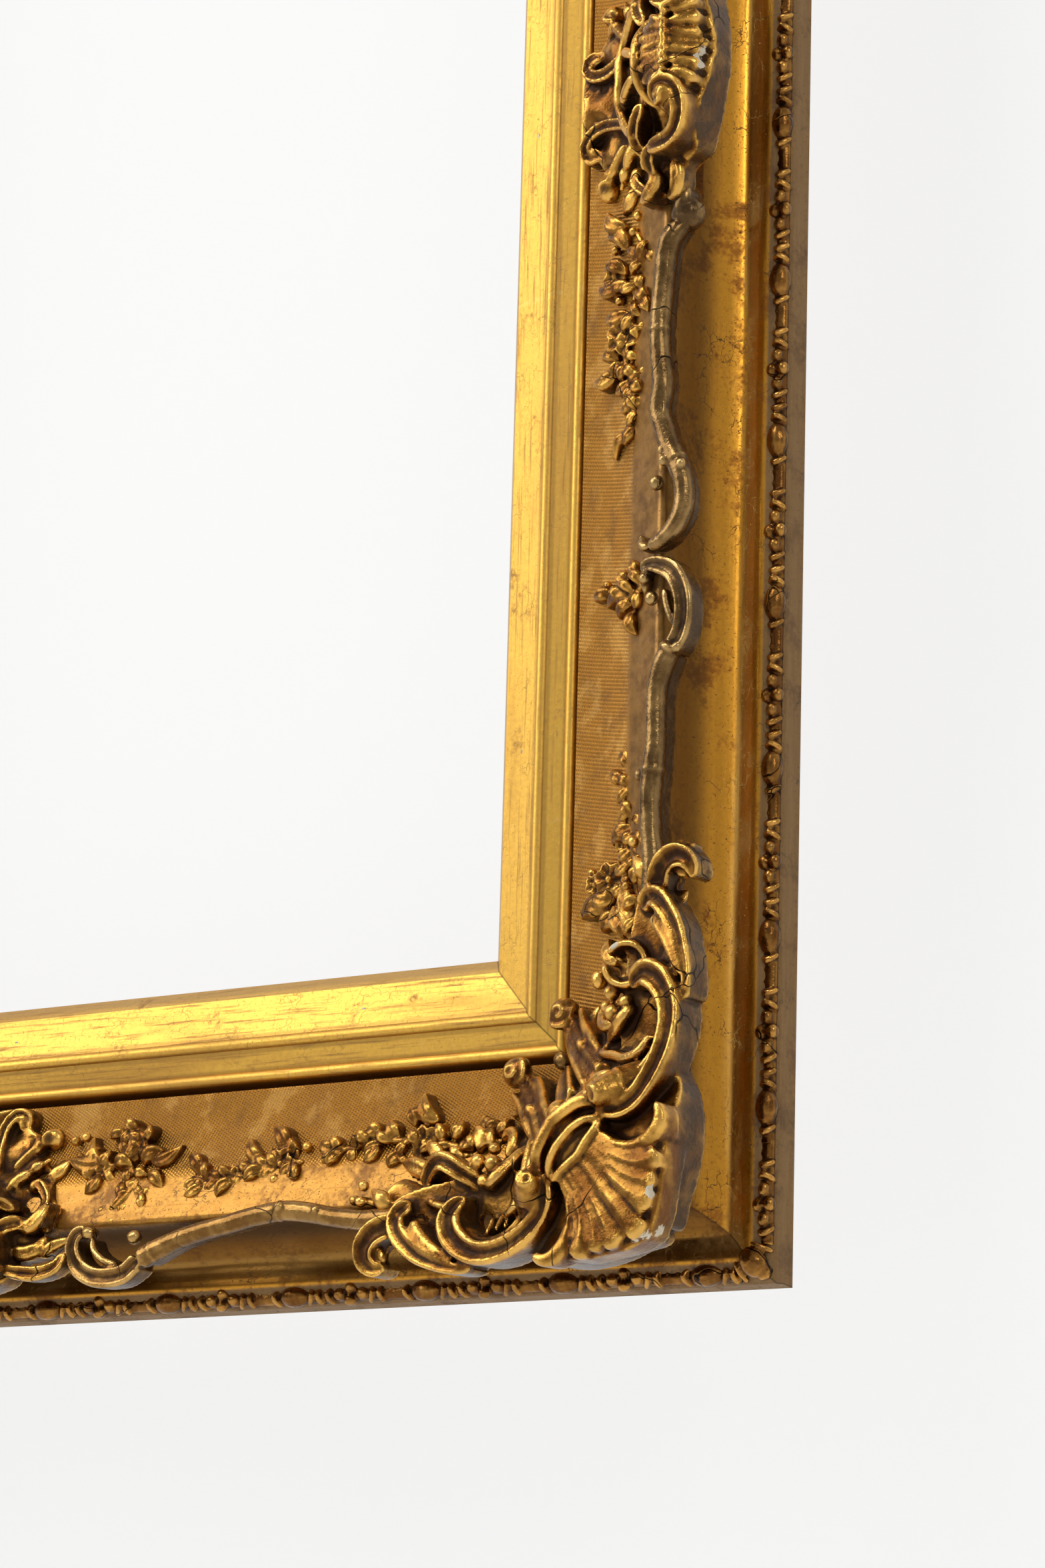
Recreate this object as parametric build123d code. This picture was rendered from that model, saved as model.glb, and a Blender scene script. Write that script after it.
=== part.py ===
from build123d import *
import math
import os

# A gilded picture frame in the swept rococo manner.
# X runs across the frame, Z up and Y back towards the wall.
# The origin is the middle of the picture, in the plane of the wall.
# Tables whose names end in shares hold hand-chosen shares of the sizes that they follow.

# Overall sizes, in millimetres
frame_width = 840.0
frame_height = 1046.0
rail_width = 148.0

# Back carcass: four flat bars, half lapped and pegged
carcass_inset = 18.0
carcass_depth = 20.0
carcass_proud = 16.0
rebate_lip = 8.5
shelf_rise = 1.5
peg_width = 9.0
peg_spacing = 48.0
peg_sides = 4

# Main moulding, from the outer edge to the inner edge of the netted panel
moulding_width = 97.2
ridge_height = 54.0
outer_side_shares = [(0.012, 0.100), (0.006, 0.204)]
seat_end_shares = [(0.100, 0.296), (0.112, 0.305)]
cove_shares = [(0.188, 0.277), (0.226, 0.272), (0.252, 0.335), (0.284, 0.411), (0.323, 0.528), (0.348, 0.713)]
ridge_wall_shares = [(0.353, 0.930)]
ridge_crown_shares = [(0.378, 1.0), (0.425, 0.978)]
panel_shoulder_shares = [(0.597, 0.843)]
panel_hollow_shares = [(0.790, 0.662), (1.0, 0.524)]

# Gilt slip, from its outer wall to the sight edge
slip_gap = 3.6
slip_height = 27.0
outer_bead_shares = [(0.005, 0.840), (0.055, 0.950), (0.118, 0.848)]
slip_flat_shares = [(0.290, 0.930), (0.325, 0.945)]
inner_bead_shares = [(0.390, 1.0), (0.444, 0.905)]
sight_line_shares = [(0.853, 0.730), (1.0, 0.426)]
brad_width = 1.6
brad_length = 30.0
brad_seat_share = 0.62
brad_spread_share = 0.38

# Pressed running ornament along the outer edge
strip_thickness = 1.5
strip_width_share = 0.88
bead_pitch = 69.1
bead_length = 21.0
bead_rise = 3.2
berry_length = 25.0
berry_rise = 2.2
crown_share = 0.55
bead_sides = 6
bud_inset = 6.6
bud_width = 12.0
bud_level = 21.5

# Carved work: places are shares of rail_width, heights are shares of carving_height
carving_height = 97.0
root_level = 8.0
skirt_rise = 13.0
rim_width = 9.0
rope_width = 6.0
path_samples = 90
bend_step = 30.0
boss_sides = 6
arc_share = 0.45
rim_section_shares = [(-0.5, 0), (0.5, 0), (0.5, 0.5), (0, 1.0), (-0.5, 0.5)]
flute_section_shares = [(-0.5, 0), (0.5, 0), (0.5, 0.6), (0, 1.0), (-0.5, 0.6)]
flute_widths = (3.6, 11.4)
upper_outline_shares = [
    (0.120, 0.120), (0.060, 0.200), (0.020, 0.400), (0.030, 0.490), (0.080, 0.570),
    (0.062, 0.700), (0.105, 0.900), (0.110, 1.030), (0.035, 1.150),
    (0.085, 1.190), (0.175, 1.130), (0.235, 1.130), (0.390, 0.950), (0.400, 0.600), (0.420, 0.420),
]
neck_outline_shares = [(0.235, 0.235), (0.235, 1.130), (0.390, 0.950), (0.400, 0.600), (0.420, 0.420)]
skirt_outline_shares = [
    (0.235, 0.235), (0.235, 1.130), (0.290, 1.110), (0.400, 0.990), (0.500, 0.910),
    (0.590, 0.830), (0.640, 0.760), (0.600, 0.600),
]
upper_levels_share = (0.630, 0.800)
scroll_shares = [
    (0.285, 0.490), (0.235, 0.405), (0.165, 0.395), (0.105, 0.480), (0.075, 0.640), (0.085, 0.735),
    (0.150, 0.790), (0.205, 0.735),
]
scroll_levels_share = (0.760, 0.900)
volute_shares = [(0.165, 0.475), (0.275, 0.490)]
volute_radius_shares = (0.070, 0.038)
volute_level_share = 0.870
rope_shares = [(0.290, 0.445), (0.370, 0.425), (0.425, 0.370), (0.445, 0.290)]
rope_levels_share = (0.780, 0.960)
hub_shares = [(0.385, 0.262), (0.262, 0.385)]
hub_levels_share = (0.780, 0.950)
flute_tip_shares = [(0.105, 0.105), (0.075, 0.190), (0.050, 0.290), (0.040, 0.385), (0.055, 0.450)]
flute_root_shares = [(0.318, 0.318), (0.305, 0.332), (0.292, 0.348), (0.278, 0.362), (0.268, 0.378)]
flute_levels_share = (0.740, 0.930, 0.990)
crater_place_share = (0.270, 0.885)
crater_radius_shares = (0.105, 0.070)
crater_levels_share = (0.660, 0.830)
curl_shares = [(0.205, 1.090), (0.150, 1.165), (0.070, 1.170), (0.045, 1.120)]
curl_levels_share = (0.700, 0.860)
knob_place_share = (0.605, 0.780)
knob_radius_share = 0.045
knob_level_share = 0.400
bud_place_shares = [(0.320, 0.715), (0.250, 0.655)]
bud_radius_share = 0.033
bud_level_share = 0.780

# Centre cartouche: across the rail, then along it from the middle
crest_outline_shares = [
    (0.400, 0.110), (0.390, 0.215), (0.235, 0.430), (0.180, 0.470),
    (0.110, 0.455), (0.115, 0.310), (0.065, 0.180), (0.008, 0.060),
]
crest_neck_shares = [(0.400, 0.110), (0.390, 0.215), (0.235, 0.430)]
plaque_outline_shares = [
    (0.640, 0.060), (0.640, 0.215), (0.560, 0.235), (0.590, 0.310), (0.400, 0.360), (0.235, 0.400),
]
crest_levels_share = (0.620, 0.780)
crest_rim_width = 7.6
crest_scroll_shares = [
    (0.190, 0.150), (0.115, 0.085), (0.070, 0.150), (0.075, 0.240), (0.115, 0.305), (0.200, 0.320),
    (0.262, 0.275),
]
crest_scroll_levels_share = (0.740, 0.880)
crest_volute_shares = [(0.090, 0.170), (0.170, 0.158)]
crest_volute_radius_shares = (0.062, 0.034)
crest_volute_level_share = 0.860
crest_flute_tip_shares = [(0.015, 0.0), (0.030, 0.060), (0.045, 0.120)]
crest_flute_root_shares = [(0.200, 0.0), (0.195, 0.030), (0.185, 0.060)]
crest_flute_levels_share = (0.640, 0.800, 0.860)
mask_shares = [(0.230, 0.070), (0.360, 0.100), (0.395, 0.050)]
mask_level_share = 0.880
mask_draft = 20.0
plaque_volute_shares = [(0.590, 0.140), (0.540, 0.262)]
plaque_volute_levels_share = (0.380, 0.420)
plaque_volute_radius_share = 0.040
crest_knob_share = (0.150, 0.440)
crest_knob_radius_share = 0.050

# Branch rails: across the rail, then along the clear run between the carved pieces
branch_width = 10.4
branch_levels_share = (0.520, 0.665)
branch_section_shares = [(-0.5, 0.25), (0, 0), (0.5, 0.25), (0.5, 0.7), (0, 1.0), (-0.5, 0.7)]
knot_width = 17.0
knot_levels_share = (0.500, 0.700)
corner_reach_share = 1.100
centre_reach_share = 0.440
fit_gap = 0.3
lower_branch_shares = [(0.225, -0.040), (0.242, 0.090), (0.242, 0.210), (0.222, 0.320), (0.150, 0.372),
                       (0.142, 0.430), (0.190, 0.462), (0.262, 0.466)]
upper_branch_shares = [(0.262, 0.502), (0.190, 0.500), (0.128, 0.530), (0.120, 0.570), (0.200, 0.640),
                       (0.248, 0.760), (0.264, 0.880), (0.264, 1.030)]
foot_branch_shares = [(0.225, -0.040), (0.246, 0.200), (0.240, 0.390), (0.190, 0.600), (0.125, 0.760),
                      (0.105, 0.850), (0.150, 0.930), (0.215, 0.945), (0.245, 0.900)]
lower_knot_share = (0.186, 0.345)
upper_knot_share = (0.170, 0.612)
foot_knot_share = (0.140, 0.730)

# Sprays on the panel: across the rail, along the clear run, heading and length in shares of rail_width
spray_thickness = 4.6
leaf_width = 8.0
leaf_shares = [(0, 0), (0.4, 0.5), (1.0, 0), (0.4, -0.5)]
stem_width = 3.2
stem_section_shares = [(-0.5, 0), (0.5, 0), (0.5, 1.0), (-0.5, 1.0)]
stile_stem_shares = [
    [(0.400, 0.020), (0.395, 0.110), (0.430, 0.205)],
    [(0.405, 0.385), (0.450, 0.445), (0.500, 0.470)],
    [(0.390, 0.660), (0.430, 0.760), (0.455, 0.880), (0.480, 0.970)],
]
stile_leaf_shares = [
    (0.400, 0.030, 160, 0.150), (0.395, 0.060, 60, 0.110), (0.398, 0.100, 130, 0.120),
    (0.450, 0.440, 175, 0.120), (0.430, 0.420, 230, 0.090),
    (0.430, 0.760, 200, 0.110), (0.440, 0.810, 150, 0.100), (0.450, 0.860, 60, 0.090), (0.460, 0.910, 170, 0.110),
]
rail_stem_shares = [
    [(0.450, -0.060), (0.440, 0.100), (0.440, 0.250)],
    [(0.420, 0.450), (0.430, 0.600), (0.460, 0.760), (0.450, 0.900)],
]
rail_leaf_shares = [
    (0.440, 0.010, 110, 0.140), (0.440, 0.090, 60, 0.100), (0.440, 0.160, 100, 0.100), (0.440, 0.230, 70, 0.110),
    (0.430, 0.560, 70, 0.100), (0.440, 0.640, 100, 0.120), (0.450, 0.740, 60, 0.110), (0.450, 0.830, 110, 0.110),
    (0.455, 0.780, 240, 0.100),
]

# Turn buttons that hold the picture in
button_length = 42.0
button_width = 12.0
button_thickness = 2.4
button_edge = 12.0
button_chamfer = 4.0
button_spread_share = 0.36
screw_width = 3.6
screw_head_width = 8.0
screw_head_height = 2.0
screw_depth = 13.0
screw_sides = 6
head_crown_share = 0.6
running_gap = 0.08

# Hanging plates and rings
hanger_level_share = 0.25
hanger_edge_share = 0.30
hanger_length = 58.0
hanger_width = 18.0
hanger_thickness = 2.0
hanger_screw_shares = (0.38, 0.82)
ring_wire = 4.0
ring_drop = 32.0
ring_inner_width = 26.0
ring_corner = 6.0
ring_sides = 6
hanger_corner = 3.0
bore_sides = 12
knuckle_width = 12.0
knuckle_wall = 1.5
overrun = 5.0

half_width = frame_width / 2
half_height = frame_height / 2
ledge = carcass_depth - carcass_proud
shelf = ledge - shelf_rise
carcass_width = rail_width - rebate_lip - carcass_inset
slip_start = moulding_width + slip_gap
slip_width = rail_width - slip_start
corner_reach = corner_reach_share * rail_width
centre_reach = centre_reach_share * rail_width
stile_run = half_height - corner_reach - centre_reach
rail_run = half_width - corner_reach - centre_reach

SIDES = {"bottom": 0, "right": -90, "top": 180, "left": 90}
QUARTERS = {"lower_right": (1, -1), "lower_left": (-1, -1), "upper_right": (1, 1), "upper_left": (-1, 1)}


def level(height):
    # A plane parallel to the wall, a height in front of the moulding's back edge
    return Plane.XZ.offset(carcass_proud + height)


def point(inward, height):
    # A point of a bottom member's section, on the YZ plane
    return (-(carcass_proud + height), inward)


def points(shares, wide, high, start=0):
    return [point(start + u * wide, h * high) for u, h in shares]


def side_length(side):
    return frame_width if side in ("bottom", "top") else frame_height


def turned(solid, side):
    # Moves what is built as the bottom member to its own side of the frame
    drop = half_height if side in ("bottom", "top") else half_width
    return Rot(0, SIDES[side], 0) * Pos(0, 0, -drop) * solid


def mitred(face, length):
    bar = extrude(Plane.YZ * face, amount=length / 2, both=True)
    shape = Polyline((-length / 2, 0), (length / 2, 0), (length / 2 - rail_width, rail_width),
                     (rail_width - length / 2, rail_width), close=True)
    return bar & extrude(Plane.XZ * make_face(shape), amount=carving_height, both=True)


def moulding_section():
    outer, arris = points(outer_side_shares, moulding_width, ridge_height)
    seat, lip = points(seat_end_shares, moulding_width, ridge_height)
    cove = points(cove_shares, moulding_width, ridge_height)
    wall = points(ridge_wall_shares, moulding_width, ridge_height)[0]
    crown_mid, crown_end = points(ridge_crown_shares, moulding_width, ridge_height)
    shoulder = points(panel_shoulder_shares, moulding_width, ridge_height)[0]
    hollow, edge = points(panel_hollow_shares, moulding_width, ridge_height)
    start = point(0, 0)
    top = [outer, arris, seat, lip, *cove, wall, crown_mid, crown_end, shoulder, hollow, edge]
    underside = [point(moulding_width, ledge), point(carcass_inset, ledge), point(carcass_inset, 0)]
    return make_face(Polyline(start, *top, *underside, close=True))


def slip_section():
    outer, bead_top, bead_end = points(outer_bead_shares, slip_width, slip_height, slip_start)
    flat, step = points(slip_flat_shares, slip_width, slip_height, slip_start)
    inner_top, inner_end = points(inner_bead_shares, slip_width, slip_height, slip_start)
    sight_line, sight_edge = points(sight_line_shares, slip_width, slip_height, slip_start)
    edges = [
        Line(point(slip_start, ledge), outer),
        ThreePointArc(outer, bead_top, bead_end),
        Polyline(bead_end, flat, step),
        ThreePointArc(step, inner_top, inner_end),
        Polyline(inner_end, sight_line, sight_edge, point(rail_width, shelf), point(rail_width - rebate_lip, shelf),
                 point(rail_width - rebate_lip, ledge), point(slip_start, ledge)),
    ]
    return make_face(Curve() + edges)


def strip_section():
    arris = points(outer_side_shares, moulding_width, ridge_height)[1]
    seat = points(seat_end_shares, moulding_width, ridge_height)[0]
    return arris, seat


def brad_places(length):
    reach = length / 2 - rail_width
    return [-reach * 2 * brad_spread_share, 0, reach * 2 * brad_spread_share]


def brads(length, wide):
    # Square cut brads through the slip's flat into the carcass
    inward = slip_start + brad_seat_share * slip_width
    near, far = sight_line_shares[0], inner_bead_shares[1]
    along = (brad_seat_share - far[0]) / (near[0] - far[0])
    top = (far[1] + along * (near[1] - far[1])) * slip_height
    plane = level(top - brad_length)
    return [
        plane * Pos(place, inward, 0) * extrude(Rectangle(wide, wide), amount=brad_length)
        for place in brad_places(length)
    ]


def seat_plane(side_offset):
    # The tilted seat of the running ornament: x along the edge, z away from the seat
    arris, seat = strip_section()
    middle = Vector(side_offset, (arris[0] + seat[0]) / 2, (arris[1] + seat[1]) / 2)
    across = Vector(0, seat[0] - arris[0], seat[1] - arris[1]).normalized()
    return Plane(origin=middle, x_dir=(1, 0, 0), z_dir=Vector(1, 0, 0).cross(across))


def seat_width():
    arris, seat = strip_section()
    return (Vector(*seat) - Vector(*arris)).length


def boss(plane, length, width, rise, sides):
    return faceted([ring(plane, length, width, sides),
                    ring(plane.offset(rise), length * crown_share, width * crown_share, sides)])


def ring(plane, length, width, sides):
    turns = [math.tau * i / sides for i in range(sides)]
    return [plane.from_local_coords(Vector(length / 2 * math.cos(turn), width / 2 * math.sin(turn))) for turn in turns]


def bead_run(length):
    width = seat_width() * strip_width_share
    base = seat_plane(0) * Box(length, width, strip_thickness, align=(Align.CENTER, Align.CENTER, Align.MIN))
    across = width / math.cos(math.pi / bead_sides)
    count = round(length / bead_pitch)
    pitch = (length - bud_inset) / count
    pieces = [base]
    for i in range(count):
        middle = (i - (count - 1) / 2) * pitch
        pieces.append(boss(seat_plane(middle).offset(strip_thickness), berry_length, across, berry_rise, bead_sides))
        if i:
            place = seat_plane(middle - pitch / 2).offset(strip_thickness)
            pieces.append(boss(place, bead_length, across, bead_rise, bead_sides))
    strip = pieces[0].fuse(*pieces[1:])
    trim = Polyline((-length / 2, 0), (length / 2, 0), (length / 2 - rail_width, rail_width),
                    (rail_width - length / 2, rail_width), close=True)
    return strip & extrude(Plane.XZ * make_face(trim), amount=carving_height, both=True)


def scroll_path(places):
    # A smooth planar run: each corner is rounded as far as its shorter neighbour allows
    corners = [Vector(x, y) for x, y in places]
    radii = []
    for before, here, after in zip(corners, corners[1:], corners[2:]):
        arm, leg = here - before, after - here
        radii.append(min(arm.length, leg.length) * arc_share / math.tan(math.radians(arm.get_angle(leg)) / 2))
    return FilletPolyline(*places, radius=radii)


def stations(path):
    # Shares of the path's length, one wherever it has turned by another bend_step
    spots, bend = [0], 0
    for i in range(1, path_samples):
        bend += (path % ((i - 1) / path_samples)).get_angle(path % (i / path_samples))
        if bend > bend_step:
            spots.append(i / path_samples)
            bend = 0
    return spots + [1]


def faceted(rings):
    # A closed solid of flat facets through a run of outlines that have equal numbers of points
    ends = [rings[0], rings[-1]]
    for near, far in zip(rings, rings[1:]):
        for i, corner in enumerate(near):
            ends += [(corner, near[i - 1], far[i - 1]), (corner, far[i - 1], far[i])]
    return Solid(Shell([Face(Wire.make_polygon(end)) for end in ends]))


def strap(places, low, high, width, section=rim_section_shares):
    # Runs a section of (across, up) shares along places on a plane parallel to the wall
    path = level(low) * scroll_path(places)
    rings = []
    for spot in stations(path):
        ahead = path % spot
        plane = Plane(origin=path @ spot, x_dir=Vector(0, -1, 0).cross(ahead), z_dir=ahead)
        rings.append([plane.from_local_coords(Vector(x * width, y * (high - low))) for x, y in section])
    return faceted(rings)


def facing(place, height):
    return Plane(origin=in_space(place, height), x_dir=(1, 0, 0), z_dir=(0, -1, 0))


def in_space(place, height):
    return (place[0], -(carcass_proud + height), place[1])


def frustum(plane, radius, top_radius, rise):
    return faceted([ring(plane, 2 * radius, 2 * radius, boss_sides),
                    ring(plane.offset(rise), 2 * top_radius, 2 * top_radius, boss_sides)])


def drum(start, end, radius, end_radius):
    # A tapered drum from one place in space to another
    axis = Vector(*end) - Vector(*start)
    return frustum(Plane(origin=start, z_dir=axis.normalized()), radius, end_radius, axis.length)


def prism(places, low, high, draft=0):
    face = level(low) * make_face(Polyline(*places, close=True))
    if face.face().normal_at().Y > 0:
        face = -face.face()
    return extrude(face, amount=high - low, taper=draft)


def flute(root, tip, levels, widths):
    # A rounded ridge that widens and rises from the hub to the shell's edge
    low, root_high, tip_high = levels
    ahead = Vector(tip[0] - root[0], 0, tip[1] - root[1]).normalized()
    side = Vector(0, -1, 0).cross(ahead)
    rings = []
    for place, high, wide in ((root, root_high, widths[0]), (tip, tip_high, widths[1])):
        plane = Plane(origin=in_space(place, low), x_dir=side, z_dir=ahead)
        rings.append([plane.from_local_coords(Vector(x * wide, y * (high - low))) for x, y in flute_section_shares])
    return faceted(rings)


def leaf(root, heading, length):
    # A pointed leaf standing on the panel, cut to the panel's shape afterwards
    spots = [Vector(x * length, y * leaf_width).rotate(Axis.Z, heading) + Vector(*root) for x, y in leaf_shares]
    return prism([(spot.X, spot.Y) for spot in spots], root_level, ridge_height)


def united(pieces):
    return pieces[0].fuse(*pieces[1:])


def biggest(shape):
    return shape.solids().sort_by(SortBy.VOLUME)[-1]


def lifted(moulding, rise):
    return Pos(0, -rise, 0) * moulding


def in_corner(share):
    # A place in the lower right quarter, in from the right edge and up from the bottom edge
    return (half_width - share[0] * rail_width, share[1] * rail_width - half_height)


def in_side(share):
    # A place on the bottom member, in from its outer edge and along from its middle
    return (share[1] * rail_width, share[0] * rail_width)


def on_stile(share):
    # A place on the right member's lower half, with the second share along the clear run
    return (half_width - share[0] * rail_width, corner_reach + share[1] * stile_run - half_height)


def on_rail(share):
    # A place on the bottom member's right half, with the second share along the clear run
    return (half_width - corner_reach - share[1] * rail_run, share[0] * rail_width - half_height)


def both_ways(half):
    # A closed outline from the half of it that starts and ends on the mitre
    return half + [(b, a) for a, b in reversed(half[1:-1])]


def across_middle(half):
    # A closed outline from the half of it that starts and ends beside the middle
    return half + [(a, -t) for a, t in reversed(half)]


def heights(shares):
    return [share * carving_height for share in shares]


def corner_half():
    low, high = heights(scroll_levels_share)
    pieces = [strap([in_corner(s) for s in scroll_shares], low, high, rim_width)]
    volute_level = volute_level_share * carving_height
    start, end = [in_space(in_corner(s), volute_level) for s in volute_shares]
    pieces.append(drum(start, end, *[r * rail_width for r in volute_radius_shares]))
    low, high = heights(curl_levels_share)
    pieces.append(strap([in_corner(s) for s in curl_shares], low, high, rim_width))
    low, high = heights(crater_levels_share)
    rim, well = [r * rail_width for r in crater_radius_shares]
    base = facing(in_corner(crater_place_share), low)
    bowl = frustum(base.offset((high - low) / 2), well * crown_share, well, (high - low) / 2)
    pieces.append(frustum(base, rim, rim, high - low) - bowl)
    radius = knob_radius_share * rail_width
    plane = facing(in_corner(knob_place_share), root_level)
    pieces.append(frustum(plane, radius, radius * crown_share, knob_level_share * carving_height - root_level))
    bud_level = bud_level_share * carving_height
    start, end = [in_space(in_corner(s), bud_level) for s in bud_place_shares]
    pieces.append(drum(start, end, bud_radius_share * rail_width, bud_radius_share * rail_width))
    for root, tip in zip(flute_root_shares[1:], flute_tip_shares[1:]):
        pieces.append(flute(in_corner(root), in_corner(tip), heights(flute_levels_share), flute_widths))
    return pieces


def corner_cartouche(mouldings):
    low, high = heights(upper_levels_share)
    upper = prism([in_corner(s) for s in both_ways(upper_outline_shares)], low, high)
    neck = prism([in_corner(s) for s in both_ways(neck_outline_shares)], root_level, high)
    raised = united([lifted(moulding, skirt_rise) for moulding in mouldings])
    skirt = prism([in_corner(s) for s in both_ways(skirt_outline_shares)], root_level, low) & raised
    half = corner_half()
    mitre = Plane(origin=(half_width, 0, -half_height), z_dir=(1, 0, 1))
    root, tip = in_corner(flute_root_shares[0]), in_corner(flute_tip_shares[0])
    middle = flute(root, tip, heights(flute_levels_share), flute_widths)
    low, high = heights(rope_levels_share)
    rope = strap([in_corner(s) for s in rope_shares], low, high, rope_width)
    start, end = [in_corner(s) for s in hub_shares]
    low, high = heights(hub_levels_share)
    hub = flute(start, end, (low, high, high), (rope_width, rope_width))
    whole = united([upper, neck, skirt, middle, rope, hub] + half + [piece.mirror(mitre) for piece in half])
    return biggest(whole.cut(*mouldings))


def centre_half():
    low, high = heights(crest_scroll_levels_share)
    pieces = [strap([in_side(s) for s in crest_scroll_shares], low, high, crest_rim_width)]
    volute_level = crest_volute_level_share * carving_height
    start, end = [in_space(in_side(s), volute_level) for s in crest_volute_shares]
    pieces.append(drum(start, end, *[r * rail_width for r in crest_volute_radius_shares]))
    radius = crest_knob_radius_share * rail_width
    low, high = heights(crest_levels_share)
    pieces.append(frustum(facing(in_side(crest_knob_share), low), radius, radius * crown_share, high - low))
    volute_level, rise = heights(plaque_volute_levels_share)
    start, end = [in_space(in_side(s), volute_level) for s in plaque_volute_shares]
    radius = plaque_volute_radius_share * rail_width
    pieces.append(drum(start, end, radius, radius))
    for root, tip in zip(crest_flute_root_shares[1:], crest_flute_tip_shares[1:]):
        pieces.append(flute(in_side(root), in_side(tip), heights(crest_flute_levels_share), flute_widths))
    return pieces


def centre_cartouche(moulding):
    low, high = heights(crest_levels_share)
    crest = prism([in_side(s) for s in across_middle(crest_outline_shares)], low, high)
    neck = prism([in_side(s) for s in across_middle(crest_neck_shares)], root_level, high)
    plaque = prism([in_side(s) for s in across_middle(plaque_outline_shares)], root_level, low)
    plaque = plaque & lifted(moulding, skirt_rise)
    mask = prism([in_side(s) for s in across_middle(mask_shares)], high, mask_level_share * carving_height, mask_draft)
    root, tip = in_side(crest_flute_root_shares[0]), in_side(crest_flute_tip_shares[0])
    middle = flute(root, tip, heights(crest_flute_levels_share), flute_widths)
    half = centre_half()
    whole = united([crest, neck, plaque, mask, middle] + half + [piece.mirror(Plane.YZ) for piece in half])
    return biggest(whole.cut(moulding))


def branch(places, knot, cutters):
    # A branch along the ridge, with the leaf knot that wraps it where it leaves the ridge
    low, high = heights(branch_levels_share)
    stem = strap(places, low, high, branch_width, branch_section_shares)
    pieces = [stem]
    if knot:
        low, high = heights(knot_levels_share)
        pieces.append(frustum(facing(knot, low), knot_width / 2, knot_width / 2 * crown_share, high - low))
    return biggest(united(pieces).cut(*cutters))


def spray(stems, leaves, to_place, moulding, cutters):
    pieces = []
    for stem in stems:
        places = [to_place(share) for share in stem]
        pieces.append(strap(places, root_level, ridge_height, stem_width, stem_section_shares))
    for across, along, heading, length in leaves:
        pieces.append(leaf(to_place((across, along)), heading, length * rail_width))
    raised = united(pieces) & lifted(moulding, spray_thickness)
    return raised.cut(moulding, *cutters)


def bead_bud(cutters):
    place = (half_width - bud_inset, bud_inset - half_height)
    bud = frustum(facing(place, root_level), bud_width / 2, bud_width / 2 * crown_share, bud_level - root_level)
    return biggest(bud.cut(*cutters))


def carcass_bar(length, front_half):
    # A flat bar with half its thickness cut away at each end for the lap
    long = length - 2 * carcass_inset
    middle = Pos(0, -carcass_depth / 2, carcass_inset + carcass_width / 2)
    bar = middle * Box(long, carcass_depth, carcass_width)
    depth = -carcass_depth / 4 if front_half else -3 * carcass_depth / 4
    for side in (-1, 1):
        place = Pos(side * (long - carcass_width) / 2, depth, carcass_inset + carcass_width / 2)
        bar = bar - place * Box(carcass_width, carcass_depth / 2, carcass_width)
    return bar


def lap_pegs():
    offset = peg_spacing / 2 / math.sqrt(2)
    seat = carcass_inset + carcass_width / 2
    pegs = []
    for right, up in QUARTERS.values():
        for step in (-offset, offset):
            place = Pos(right * (half_width - seat) + step, 0, up * (half_height - seat) + right * up * step)
            peg = extrude(Plane.XZ * RegularPolygon(peg_width / 2, peg_sides), amount=carcass_depth)
            pegs.append(place * peg)
    return pegs


def button_places():
    # Pivots of the turn buttons: two on each upright and one on the top bar
    across = half_width - rail_width + rebate_lip + button_edge
    up = half_height - rail_width + rebate_lip + button_edge
    spread = button_spread_share * half_height
    return {
        "button_left_upper": (-across, spread, 90), "button_left_lower": (-across, -spread, 90),
        "button_right_upper": (across, spread, 90), "button_right_lower": (across, -spread, 90),
        "button_top": (0, up, 0),
    }


def turn_button(across, up, heading):
    outline = chamfer(Rectangle(button_length, button_width).vertices(), button_chamfer)
    outline = outline - RegularPolygon(screw_width / 2 + running_gap, screw_sides, major_radius=False)
    button = extrude(outline, amount=button_thickness)
    return Pos(across, running_gap, up) * Rot(-90, 0, 0) * Rot(0, 0, heading) * button


def screw(across, back, up):
    # A pan-headed screw whose head's underside is at back
    shank = RegularPolygon(screw_width / 2, screw_sides)
    crown_width = screw_head_width * head_crown_share
    head = faceted([ring(Plane.XY, screw_head_width, screw_head_width, screw_sides),
                    ring(Plane.XY.offset(screw_head_height), crown_width, crown_width, screw_sides)])
    body = extrude(shank, amount=-screw_depth) + head
    return Pos(across, back, up) * Rot(-90, 0, 0) * body


def hanger_axis():
    # Place of the ring's hinge line on the right upright
    across = half_width - carcass_inset - hanger_edge_share * carcass_width
    return across, hanger_thickness + fit_gap + ring_wire / 2, half_height - hanger_level_share * frame_height


def hanger():
    across, back, up = hanger_axis()
    plate = Box(hanger_width, hanger_thickness, hanger_length, align=(Align.CENTER, Align.MIN, Align.MAX))
    plate = chamfer(plate.edges().filter_by(Axis.Y), hanger_corner)
    barrel_radius = ring_wire / 2 + running_gap + knuckle_wall
    barrel = extrude(Plane.YZ * RegularPolygon(barrel_radius, bore_sides), amount=knuckle_width / 2, both=True)
    bore = Plane.YZ * RegularPolygon(ring_wire / 2 + running_gap, bore_sides, major_radius=False)
    bore = extrude(bore, amount=knuckle_width, both=True)
    block = Box(knuckle_width, back, 2 * barrel_radius, align=(Align.CENTER, Align.MAX, Align.CENTER))
    solid = Pos(across, 0, up + barrel_radius) * plate + Pos(across, back, up) * (barrel + block)
    solid = solid - Pos(across, back, up) * bore
    for share in hanger_screw_shares:
        hole = extrude(Plane.XZ * RegularPolygon(screw_width / 2 + running_gap, screw_sides, major_radius=False),
                       amount=overrun, both=True)
        solid = solid - Pos(across, 0, up + barrel_radius - share * hanger_length) * hole
    return solid


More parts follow.
